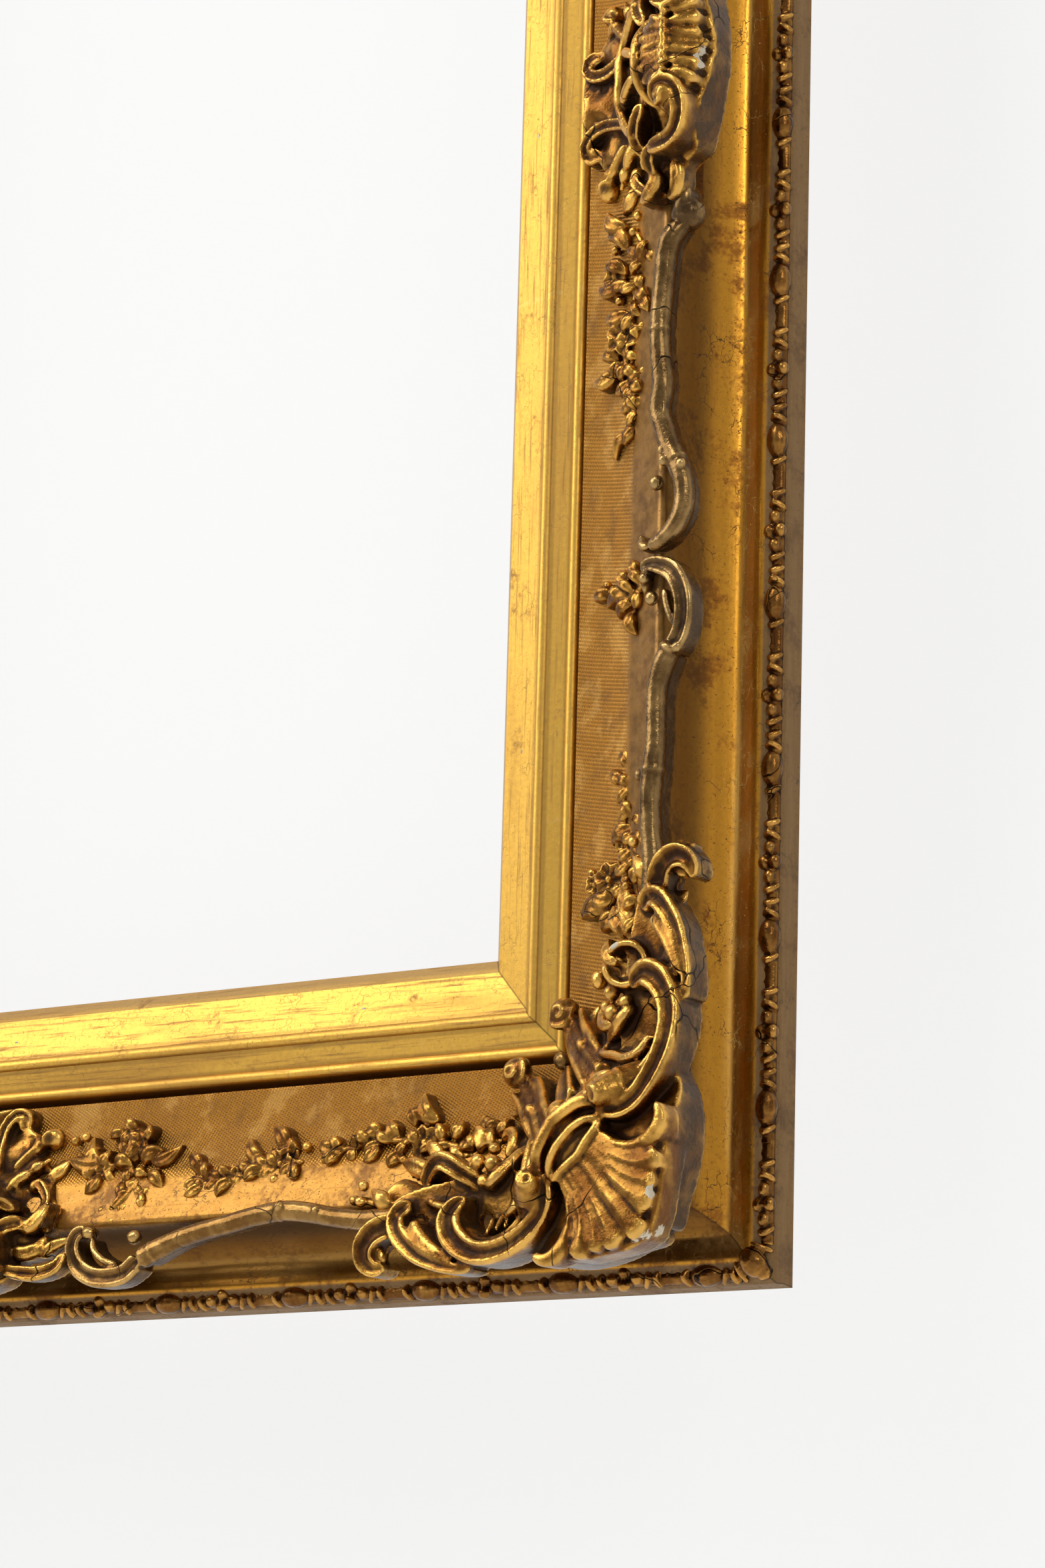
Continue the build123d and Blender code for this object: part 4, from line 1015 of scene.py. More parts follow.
    # Outer leaf that lies along the outside of the scroll, and its curled end
    tail = [(36, 152, 63, 4.2), (31, 156, 65.5, 4.9), (25.4, 155.4, 68, 5.0), (19.6, 150.6, 70.4, 4.8),
            (12.8, 141.6, 72.4, 4.1), (8.4, 131.6, 74.2, 3.3), (5.4, 120.8, 75.4, 2.6), (4.2, 110, 76.2, 1.6)]
    shapes.append(stroke(tail, "channel", 2.8, 14, (3, 4)))
    curled = [(27, 146.5, 69.4, 2.4), (21.4, 142.4, 71, 3.3), (15.6, 135.6, 73, 3.5), (11.4, 128, 74.4, 3.0),
              (8.6, 120.4, 75.6, 1.6)]
    shapes.append(stroke(curled, "leaf", 2.4, 10, (2, 4)))
    curl = [(24.6, 150.5, 64, 4.2), (26, 160, 65.8, 5.4), (23, 167.6, 67.8, 5.8), (16.8, 171.4, 69.2, 5.6),
            (10.6, 170.2, 69.8, 4.6), (7.4, 165.8, 69.2, 3.4), (8.6, 161.4, 68, 1.8)]
    shapes.append(stroke(curl, "cup", 2.9, 12, (3, 3)))
    for start, end in (((12.5, 171, 69), (8.2, 177, 66)), ((17.5, 173, 68), (16.4, 179.6, 64)),
                       ((22.4, 171, 66), (24, 178.4, 61.5)), ((27, 165.6, 64), (31.4, 172, 59))):
        shapes.append(leaf(start, end, 2.5, 0.6, skirt=7))
    shapes += [blob(*row) for row in (
        ((13.6, 164.6, 66.5), (2.6, 3.6, 2.6), (1, 0.4, 0)),
        ((38.5, 170, 60), (4.3, 7.2, 3.6), (0.65, 0.75, 0), 0.75),
    )]
    for spot in ((38.4, 182.6, 59), (45.6, 182.7, 57), (39.5, 187.2, 57)):
        shapes.append(blob(spot, (2.6, 3.0, 2.5), (0.4, 1, 0), 0.4))
    shapes.append(stroke([(36, 172, 57, 1.8), (38, 178, 57, 1.6), (40.5, 184, 56, 1.2)], "round", 1.6, 6))
    # Stalk to the knob over the slip
    shapes += [stroke(*row) for row in (
        ([(58, 84, 60, 5.2), (69, 92, 52.6, 6.4), (79.6, 101, 45, 5.8), (89, 112, 38, 4.4)], "leaf", 3.4, 14,
         (3, 2)),
        ([(64, 80, 61, 2.0), (74, 90, 53, 2.6), (83, 98, 45, 2.2), (90, 105, 38.6, 1.4)], "round", 2.6, 12),
        ([(60, 94, 56, 1.8), (68, 101, 51, 2.6), (77, 109, 44.6, 2.4), (83.6, 118, 39, 1.4)], "round", 2.4,
         12),
    )]
    shapes += [blob(*row) for row in (
        ((73, 99, 50.4), (3.2, 4.4, 2.6), (1, 1, 0)), ((92.6, 116.6, 37.4), (6.8, 6.8, 6.4)),
    )]
    curl = [(92.6 + 2.4 * math.cos(a), 116.6 + 2.4 * math.sin(a), 43.4, 0.9) for a in np.linspace(0, 5.2, 8)]
    shapes.append(stroke(curl, "rod", ends=(1, 1)))
    shapes.append(stroke([(86.6, 120.4, 38.6, 1.2), (89.4, 111.2, 42, 1.4), (96.6, 111.4, 41, 1.4),
                          (98.6, 117.6, 38, 1.0)],
                         "round", 1.3, 4))
    shapes.append(blob((96.6, 97.2, 32.5), (3.4, 4.6, 3.2), (1, 1, 0)))
    # Leaves, pods and buds inside the bowl
    shapes += [stroke(*row) for row in (
        ([(39, 111.5, 63, 2.0), (42.6, 107.6, 65.5, 2.6), (46.8, 103.6, 63.5, 2.9), (53.5, 100.4, 58, 2.5),
          (58, 99.6, 54, 1.4)], "leaf", 2.4, 10),
        ([(53, 107.6, 56, 1.9), (59.5, 106.2, 53.6, 2.7), (64, 108.6, 50, 2.9), (65.6, 113.4, 47, 2.4),
          (62.6, 118, 45.6, 1.5)], "leaf", 2.2, 10),
        ([(66, 102, 48, 2.2), (72.4, 106, 44, 2.8), (75.4, 112, 40, 2.4), (74, 118.6, 38, 1.4)], "leaf", 2.2,
         8),
        ([(47.5, 141, 50, 1.6), (50, 150, 53, 3.6), (53.6, 160, 50.5, 4.3), (57, 171, 45.5, 1.4)], "leaf",
         2.6, 12, (1, 3)),
    )]
    shapes.append(leaf((53, 146, 50), (63.4, 160, 44), 3.4, 1.6, -0.15, 8))
    for spot, size in (((51.5, 118.1, 61.5), 3.6), ((50, 109.4, 62.5), 4.0), ((42.9, 113.4, 63.5), 3.2),
                       ((57.4, 113.4, 56.5), 3.0)):
        shapes.append(blob(spot, (size, size, size)))
    if stile:
        # Round open cup with a thick broken rim
        rim = []
        for i in range(15):
            a = 2 * math.pi * (i / 15) + 0.5
            rim.append((43.4 + 9.4 * math.cos(a), 129.4 + 8.8 * math.sin(a), 63.4 + 1.4 * math.sin(a + 1.6),
                        1.75))
        shapes.append(stroke(rim, "round", 2.4, 9, (0.5, 0.5)))
        for i in range(7):
            a = 0.5 + i * 0.82
            shapes.append(stroke([(43.4 + 8 * math.cos(a), 129.4 + 7.6 * math.sin(a), 62, 1.0),
                                  (43.4 + 4.4 * math.cos(a), 129.4 + 4.2 * math.sin(a), 58, 0.9)], "round",
                                  1.4, 5, (1, 1)))
        shapes.append(blob((72.8, 128.5, 41), (3.4, 4.4, 3.2), (0.3, 1, 0)))
        shapes += [leaf(*row) for row in (
            ((62, 124, 46), (72, 135, 41), 3.0, 1.4, 0.2, 7),
            ((57, 133, 50), (66, 146, 43.6), 3.2, 1.4, -0.2, 7),
        )]
    else:
        # Arched strap over a dark opening
        shapes += [stroke(*row) for row in (
            ([(41, 116, 58, 3.4), (47.6, 125, 64.5, 4.2), (52.6, 135.4, 64, 4.4), (49.6, 145.4, 58, 4.2),
              (43.6, 152, 54, 2.8)], "channel", 3.0, 7, (2, 3)),
            ([(36, 124, 60, 1.6), (33.4, 132, 62, 2.0), (35, 141, 61, 2.0), (40, 148.6, 58, 1.4)], "round",
             2.0, 9),
        )]
        shapes += [leaf(*row) for row in (
            ((58, 128, 48), (70, 136, 41.5), 3.4, 1.6, -0.2, 8),
            ((60, 122, 47), (71.4, 124.6, 41.5), 2.9, 1.4, 0.15, 7),
        )]
        shapes.append(blob((58.6, 141.4, 46), (3.2, 4.6, 3.0), (1, 1, 0), 0.4))
    for i in range(16):
        u, v = lift.uniform(38, 64), lift.uniform(84, 140)
        size = lift.uniform(0.9, 1.7)
        shapes.append(blob((u, v, levelAt(corner["levels"], u, v) + 0.4), (size, size * 1.3, size),
                           (lift.uniform(-1, 1), 1, 0)))
    return shapes


def buildCorners():
    levels = corner["levels"] + [(v, u, h) for u, v, h in corner["levels"] if u != v]
    half = [ground(corner["overhang"], levels, corner["overhangLow"]),
            ground(corner["body"], levels, corner["bodyLow"])]
    middle = [(47, 47, 90.2, 1.5), (30, 30, 92.4, 3.0), (22, 22, 93.4, 4.2), (11.8, 11.8, 93.6, 5.6)]
    shapes = half + cornerHalf(True) + swapped(half) + swapped(cornerHalf(False))
    shapes.append(stroke(middle, "lobe", 2.4, 11, (2, 4)))
    shapes.append(stroke([(u, v, h + 1.5, w * 0.3) for u, v, h, w in middle[1:]], "ridge", 0.8, 4, (5, 5)))
    shapes += [blob(*row) for row in (
        ((50.4, 50.4, 84.6), (5.2, 13.5, 4.8), (1, -1, 0)),
        ((58.4, 58.4, 83.0), (4.6, 13.0, 4.4), (1, -1, 0)), ((66, 66, 74), (6.5, 7.5, 6.5), (1, 1, 0)),
    )]
    shapes.append(stroke([(74, 74, 60, 6.4), (84, 84, 47, 5.4), (93, 93, 35, 3.0)], "channel", 3.0, 12,
                         (3, 3)))
    first = carve("corner", shapes, corner["voxel"], chips=corner["chips"], darkSpots=corner["darkSpots"])
    fourQuarters(first, "corner", "gilt_composition", "corner")
    print("corners carved", len(first.data.vertices))


buildCorners()


# Cartouche at the middle of each side; t runs both ways from the middle
centre = {
    "levels": [
        (8, 0, 70), (5, 12, 74), (16, 0, 82), (16, 10, 82), (20, 0, 82), (10, 26, 78), (8, 36, 76),
        (20, 30, 70), (28, 32, 62), (20, 44, 70), (30, 46, 66), (28, 8, 76), (36, 6, 78), (30, 20, 70),
        (42, 14, 66), (44, 28, 58), (52, 4, 60), (58, 12, 55), (56, 26, 52), (50, 40, 48), (40, 50, 54),
        (24, 52, 60), (30, 58, 58), (46, 58, 50), (66, 6, 46), (76, 4, 39), (70, 24, 43), (86, 12, 36),
        (92, 18, 35), (80, 38, 34), (62, 40, 42)],
    "overhang": [(2.5, -8), (2.2, 0), (2.5, 8), (5, 22), (7.5, 34), (10.5, 43), (18, 48), (24, 55), (30, 57),
                 (36, 50), (40, 20), (40, -20), (36, -50), (30, -57), (24, -55), (18, -48), (10.5, -43),
                 (7.5, -34), (5, -22)],
    "body": [(33, 0), (33, 40), (34, 58), (44, 60), (50, 54), (58, 50), (64, 45), (70, 40), (80, 36),
             (86, 26), (95, 22), (96, 8), (94, 0), (96, -8), (95, -22), (86, -26), (80, -36), (70, -40),
             (64, -45), (58, -50), (50, -54), (44, -60), (34, -58), (33, -40)],
    "overhangLow": 58, "bodyLow": 30,
    "voxel": 0.95,
    "chips": [(3.4, -5, 77, 3.8), (3.2, -10.5, 78.5, 3.6), (6.5, -8, 80, 2.6)],
    "darkSpots": [(80.2, 41, 41, 3), (80.2, -41, 41, 3), (28, 32, 62, 7), (28, -32, 62, 7)],
}


def centreHalf(onRail):
    shapes = []
    for rows in (
        [(17.4, 3.8, 86.4, 1.6), (12, 3.9, 83.5, 2.4), (5.2, 4.0, 77.6, 2.9)],
        [(16.8, 8.8, 86.4, 1.6), (11, 9.6, 84, 2.5), (4.6, 11.4, 79, 3.2)],
        [(16.4, 13.4, 86.2, 1.5), (10.5, 15.2, 84.6, 2.4), (5.2, 18.6, 80.6, 2.9)],
    ):
        shapes.append(stroke(rows, "lobe", 2.4, 10, (1.5, 3)))
        shapes.append(stroke([(u, t, h + 1.5, w * 0.28) for u, t, h, w in rows], "ridge", 0.8, 4, (3, 4)))
    shapes.append(stroke([(18.2, 0, 87.4, 1.9), (18.6, 7.9, 87.2, 1.9), (19.4, 14.6, 86.4, 1.6)], "round",
                         2.2, 9, (0, 2)))
    for t in (2.6, 6.4, 10.2, 13.8):
        shapes.append(stroke([(16.6, t - 0.9, 88.2, 0.6), (18.6, t, 89.4, 0.75), (20.6, t + 0.9, 88.2, 0.6)],
                             "round", 0.9, 2, (0.6, 0.6)))
    # Palmette that fans inward from the rope
    for spread, far in ((1.6, (36, 1.5, 79)), (4.4, (37.4, 6.4, 78)), (7.6, (36.4, 11.8, 75.4)),
                        (10.8, (34, 16.8, 72))):
        shapes.append(stroke([(20.6, spread, 84.4, 1.1), (28, (spread + far[1]) / 2 + 0.6, 81.4, 1.7),
                              (far[0], far[1], far[2], 2.2)], "lobe", 2.0, 9, (2, 3)))
    shapes.append(stroke([(39.6, 0, 78, 2.4), (40, 8, 76, 2.4), (38, 15.6, 72, 2.2), (33.6, 21.4, 69, 1.5)],
                         "round", 2.3, 10, (0, 3)))
    # Scroll at the side of the shell
    band = [(24.4, 25.5, 82, 2.2), (23.4, 20.6, 86.4, 3.2), (18.2, 18.7, 87.4, 3.9), (13.2, 21.4, 86.8, 4.1),
            (11.2, 27, 85.2, 4.2), (11.6, 33.5, 83.6, 4.3), (14.5, 38.6, 81.6, 4.4), (20, 41.4, 79, 4.4),
            (28, 41.6, 76, 4.0), (34.6, 40.8, 73.4, 2.8)]
    shapes.append(stroke(band, "channel", 3.2, 15, (2, 3)))
    shapes += cone((13.4, 27.2, 73), (20.4, 23.2, 88.4), 7.4, 4.1, 1.9, 1.1)
    for i, (u, t) in enumerate(((18, 30), (20.6, 33.4), (24.6, 35.6), (29, 36))):
        shapes.append(stroke([(u, t, 75.6 - 1.4 * i, 0.9), (u + 4, t - 2.8, 72 - 1.5 * i, 1.1),
                              (u + 7.6, t - 5.4, 68 - i, 0.7)],
                             "round", 1.4, 6, (1, 2)))
    shapes.append(stroke([(30.4, 40.4, 73.4, 3.0), (36, 43.6, 71, 4.0), (38.4, 49, 66, 3.4)], "cup", 2.4, 10,
                         (2, 2)))
    # Tail leaves beyond the scroll
    shapes += [stroke(*row) for row in (
        ([(38, 46.6, 65, 2.6), (36, 52.6, 65.4, 3.6), (41, 57.4, 63.5, 3.4), (47.6, 59.4, 60, 1.5)], "leaf",
         2.4, 9),
        ([(26, 46, 68, 2.6), (23.8, 52, 67, 3.8), (26, 58.6, 65, 3.6), (32, 60.2, 62, 1.8)], "leaf", 2.4, 10),
    )]
    if onRail:
        shapes += [stroke(*row) for row in (
            ([(16.6, 45.4, 74, 2.4), (14.6, 54, 72, 3.4), (14, 63.4, 70, 3.4), (17, 71.6, 67, 3.0),
              (24, 74.6, 64.6, 2.0)], "channel", 2.4, 8),
            ([(22, 60, 64, 2.4), (26.6, 66.6, 64, 3.0), (30, 74.6, 61.4, 1.5)], "leaf", 2.2, 8),
        )]
    shapes.append(blob((35.6, 56.2, 58.6), (3.0, 3.2, 3.0)))
    # Straps from the shell down to the panel
    shapes += [stroke(*row) for row in (
        ([(41, 18, 70, 2.6), (46.6, 26.6, 66.4, 3.4), (48, 33, 63, 3.0), (44.6, 39.6, 60, 1.8)], "channel",
         2.6, 10),
        ([(60.4, 0, 59, 2.6), (61.4, 7.6, 58.4, 2.6), (60.4, 15, 57, 2.6), (55.6, 23.4, 60, 2.6),
          (47.6, 31.6, 66, 2.0)], "round", 2.4, 12, (0, 3)),
        ([(45, 4.6, 71, 1.8), (52, 8.6, 66, 2.4), (58, 12.4, 60.6, 1.8)], "leaf", 2.0, 10),
        ([(43, 52, 57, 1.8), (50, 51, 52, 2.4), (56.6, 46, 50, 2.6), (59.6, 40.6, 49, 1.8)], "channel", 2.2,
         8),
    )]
    # Volute over the edge of the slip
    shapes.append(stroke([(62, 17.6, 50, 2.6), (71, 14.2, 45.4, 3.1), (80.4, 12.4, 41.6, 3.2),
                          (88.4, 13.8, 39.4, 3.1), (93.2, 18.6, 37.6, 2.9), (91.4, 24, 36.8, 2.5),
                          (86.2, 23.4, 37.4, 2.0), (86.8, 19.6, 38.6, 1.4)],
                         "channel", 2.8, 9, (2, 1)))
    shapes.append(blob((88.6, 21, 37.4), (2.3, 2.3, 2.6)))
    shapes += flower((85.5, 5.4, 35.4), 4.8, 5, 0.3)
    shapes.append(stroke([(66, 24.4, 46, 2.0), (72.6, 30.4, 43, 2.3), (78.4, 36, 40, 2.1)], "round", 2.0, 9))
    shapes.append(blob((80.2, 41, 36.6), (5.2, 5.2, 4.8)))
    shapes += [stroke(*row) for row in (
        ([(76, 38.4, 40, 0.9), (80.6, 37.8, 42, 1.1), (84.6, 41, 40.4, 0.9)], "round", 1.2, 3),
        ([(56, 27, 52, 2.6), (60.6, 32, 50.4, 2.8), (64.6, 37, 47, 2.2)], "round", 2.2, 9),
    )]
    shapes += [blob(*row) for row in (
        ((57, 41, 48.6), (3.2, 3.4, 3.2)), ((66.4, 37.8, 44.6), (3.2, 4.2, 3.2), (0.6, 1, 0), 0.5),
        ((67.6, 48.7, 40.4), (2.8, 4.4, 2.8), (0.8, 1, 0), 0.6),
    )]
    shapes += [leaf(*row) for row in (
        ((60, 44, 46), (70, 55, 40.4), 3.2, 1.6, 0.12, 8), ((72, 33, 42), (82, 31, 38), 2.6, 1.4, 0.2, 8),
    )]
    more = random.Random(11)
    for i in range(9):
        u, t = more.uniform(44, 70), more.uniform(6, 44)
        size = more.uniform(0.9, 1.6)
        shapes.append(blob((u, t, levelAt(centre["levels"], u, t) + 0.5), (size, size * 1.3, size),
                           (more.uniform(-1, 1), 1, 0)))
    return shapes


def buildCentres():
    levels = centre["levels"] + [(u, -t, h) for u, t, h in centre["levels"] if t]
    shapes = [ground(centre["overhang"], levels, centre["overhangLow"], 3.5),
              ground(centre["body"], levels, centre["bodyLow"], 3.5)]
    shapes.append(stroke([(17.4, 0, 86.6, 1.5), (11, 0, 82, 2.0), (3.4, 0, 73.6, 2.4)], "lobe", 2.2, 9,
                         (1, 3)))
    carved = {}
    for kind in (False, True):
        whole = shapes + centreHalf(kind) + flipped(centreHalf(kind))
        chips = () if kind else centre["chips"]
        carved[kind] = carve("centre", whole, centre["voxel"], chips=chips, convert=sideSpace,
                             darkSpots=centre["darkSpots"])
    right = carved[False]
    right.name = "centre_right_piece"
    belong(right, "gilt_composition", "centre_right")
    for side in ("left", "bottom", "top"):
        data = carved[side != "left"].data.copy()
        data.transform(sideMove(side))
        belong(linkObject(f"centre_{side}_piece", data), "gilt_composition", f"centre_{side}")
    bpy.data.objects.remove(carved[True])
    print("centres carved", len(right.data.vertices))


# Branches on the ridge and their hooked ends
branches = {
    "stileUpper": [(27, 452, 57, 4.6), (31, 445, 60, 5.0), (33.2, 438, 60, 4.9), (34.2, 429.4, 59.6, 4.8),
                   (35.4, 417.7, 59.4, 4.7), (36.4, 404.8, 59.3, 4.7), (35.4, 391, 59.3, 4.8),
                   (34, 379.8, 59.4, 5.0), (35.4, 369, 59.4, 4.9), (32.6, 360.5, 59.6, 4.8),
                   (29.4, 352.1, 60, 4.8), (25.4, 345, 60.5, 4.9), (21.8, 336.6, 61, 4.7),
                   (20.6, 328.4, 61, 4.6), (21.9, 320.8, 61, 4.5), (26, 314.8, 61, 4.2),
                   (32.4, 310.6, 60.4, 3.6), (39.6, 309, 59.4, 2.6)],
    "stileHook": [(44.6, 300.4, 58, 2.2), (38.4, 301.4, 59.4, 3.4), (31.6, 299.6, 60.4, 4.2),
                  (26, 296.4, 61, 4.5), (21.8, 290.2, 61.4, 4.6), (19.6, 283, 61.4, 4.6),
                  (19.6, 275, 61.2, 4.6), (21.8, 268, 60.8, 4.6), (26.6, 261.4, 60.4, 4.6)],
    "stileLower": [(26.8, 263, 60, 4.8), (31.4, 255, 59.6, 4.7), (33.8, 245, 59.4, 4.5), (34, 233, 59.3, 4.5),
                   (34, 222, 59.3, 4.6), (35, 212, 59.3, 4.9), (36, 200, 59.3, 4.8), (35.4, 187, 59.3, 4.6),
                   (34, 175, 59.3, 4.7), (33.6, 163, 59.4, 5.0), (33.4, 152, 59.6, 5.4)],
    "railLower": [(31, 152, 59.6, 5.2), (30.4, 166, 59.6, 4.8), (30.4, 180, 59.4, 4.6),
                  (32.6, 197, 59.2, 4.4), (35.6, 213, 59, 4.6), (36.6, 226, 59, 4.6), (34.8, 242, 59.2, 4.5),
                  (32, 257, 59.5, 4.4), (29.6, 271, 60, 4.4), (26.4, 284, 60.4, 4.5), (22, 296, 61, 4.9),
                  (18.6, 304, 61.4, 5.2)],
    "railHook": [(18.6, 304, 61.4, 4.8), (12.8, 312, 62, 4.6), (11.4, 321, 62.4, 4.6), (12.4, 330, 62.6, 4.6),
                 (17, 338.4, 62.8, 4.5), (24.6, 342.4, 62.8, 4.2), (31.4, 340.4, 62.6, 3.6),
                 (33.6, 334.6, 62.4, 2.6)],
    "voxel": 0.8,
}


def rod(rows, seat=50.0):
    under = [(u, v, h - 2.0, w * 0.62) for u, v, h, w in rows]
    return [stroke(rows, "rod", ends=(3, 3)), stroke(under, "round", 1.0, max(4.0, rows[0][2] - seat),
                                                     (3, 3))]


def knots(rows, picks, size=1.15):
    shapes = []
    for i in picks:
        u, v, h, w = rows[i]
        near = rows[min(i + 1, len(rows) - 1)]
        shapes.append(blob((u, v, h), (w * size, w * 0.62, w * size), (near[0] - u, near[1] - v, 0)))
    return shapes


def bark(rows, seed):
    shapes, dice = [], random.Random(seed)
    for offset in (-0.7, 0.3):
        path = []
        for i, (u, v, h, w) in enumerate(rows):
            lean = offset + dice.uniform(-0.14, 0.14)
            path.append((u + w * lean, v, h + w * math.sqrt(max(0.05, 1 - lean * lean)) - 0.6,
                         dice.uniform(0.35, 0.8)))
        shapes.append(stroke(path, "round", 0.7, 1.0, (5, 5)))
    return shapes


def buildBranches():
    upper, hook, lower = branches["stileUpper"], branches["stileHook"], branches["stileLower"]
    shapes = rod(upper) + rod(lower) + knots(upper, (5, 11), 1.08) + knots(lower, (0, 5), 1.1)
    shapes += bark(upper[:14], 1) + bark(lower, 2)
    shapes += [stroke(hook, "channel", 2.2, 9, (2, 3))]
    shapes.append(blob((25, 456, 55.5), (8.0, 7.6, 7.6)))
    shapes += [stroke(*row) for row in (
        ([(20.4, 459, 60.6, 1.0), (25, 462.4, 61.6, 1.3), (30, 459, 60.6, 1.0)], "round", 1.2, 3),
        ([(28, 470, 60, 2.6), (24, 463, 60.6, 3.6), (27, 455, 60, 4.4)], "round", 3.4, 9),
    )]
    for spot, size in (((20.6, 341.8, 64), 2.4), ((29.5, 344.4, 64.4), 2.3), ((31, 349.6, 63.4), 2.0),
                       ((37.4, 337.4, 57.5), 3.2), ((38.6, 286.9, 57.6), 3.0), ((41.7, 210.6, 58.6), 2.6),
                       ((42.4, 296, 58), 2.4), ((22.4, 262.6, 62), 2.2)):
        shapes.append(blob(spot, (size, size * 1.1, size)))
    shapes += [stroke(*row) for row in (
        ([(40, 309, 58.6, 1.6), (44.4, 311, 57.4, 2.0), (45.6, 316, 56, 1.0)], "round", 1.6, 6),
        ([(24.6, 272.6, 61, 1.5), (28.2, 281.4, 61, 1.7), (30.4, 289.6, 60.6, 1.4)], "round", 1.8, 9),
    )]
    shapes.append(leaf((42, 299.6, 57), (44.8, 290, 53.4), 2.4, 0.8, skirt=5))
    first = carve("stile_branch", shapes, branches["voxel"], 1, "branch", darkSpots=[(24, 457, 58, 10)])
    fourQuarters(first, "stile_branch", "gilt_composition", "stile_branch", "stile_scroll")
    lower, hook = branches["railLower"], branches["railHook"]
    shapes = rod(lower) + knots(lower, (5, 10), 1.08) + bark(lower, 4)
    shapes += [stroke(hook, "channel", 2.2, 9, (2, 3))]
    shapes.append(stroke([(16.6, 316, 62, 1.4), (19.4, 324, 62.4, 1.6), (24, 330, 62.4, 1.5),
                          (29.6, 331.6, 62, 1.2)], "round", 1.8, 9))
    for spot, size in (((29.4, 310.6, 57.6), 3.4), ((38, 224, 63), 2.2), ((35.6, 204, 62.6), 1.8),
                       ((32, 334, 62), 3.0)):
        shapes.append(blob(spot, (size, size * 1.1, size)))
    first = carve("rail_branch", swapped(shapes), branches["voxel"], 1, "railBranch")
    fourQuarters(first, "rail_branch", "gilt_composition", "rail_branch")
    print("branches carved")


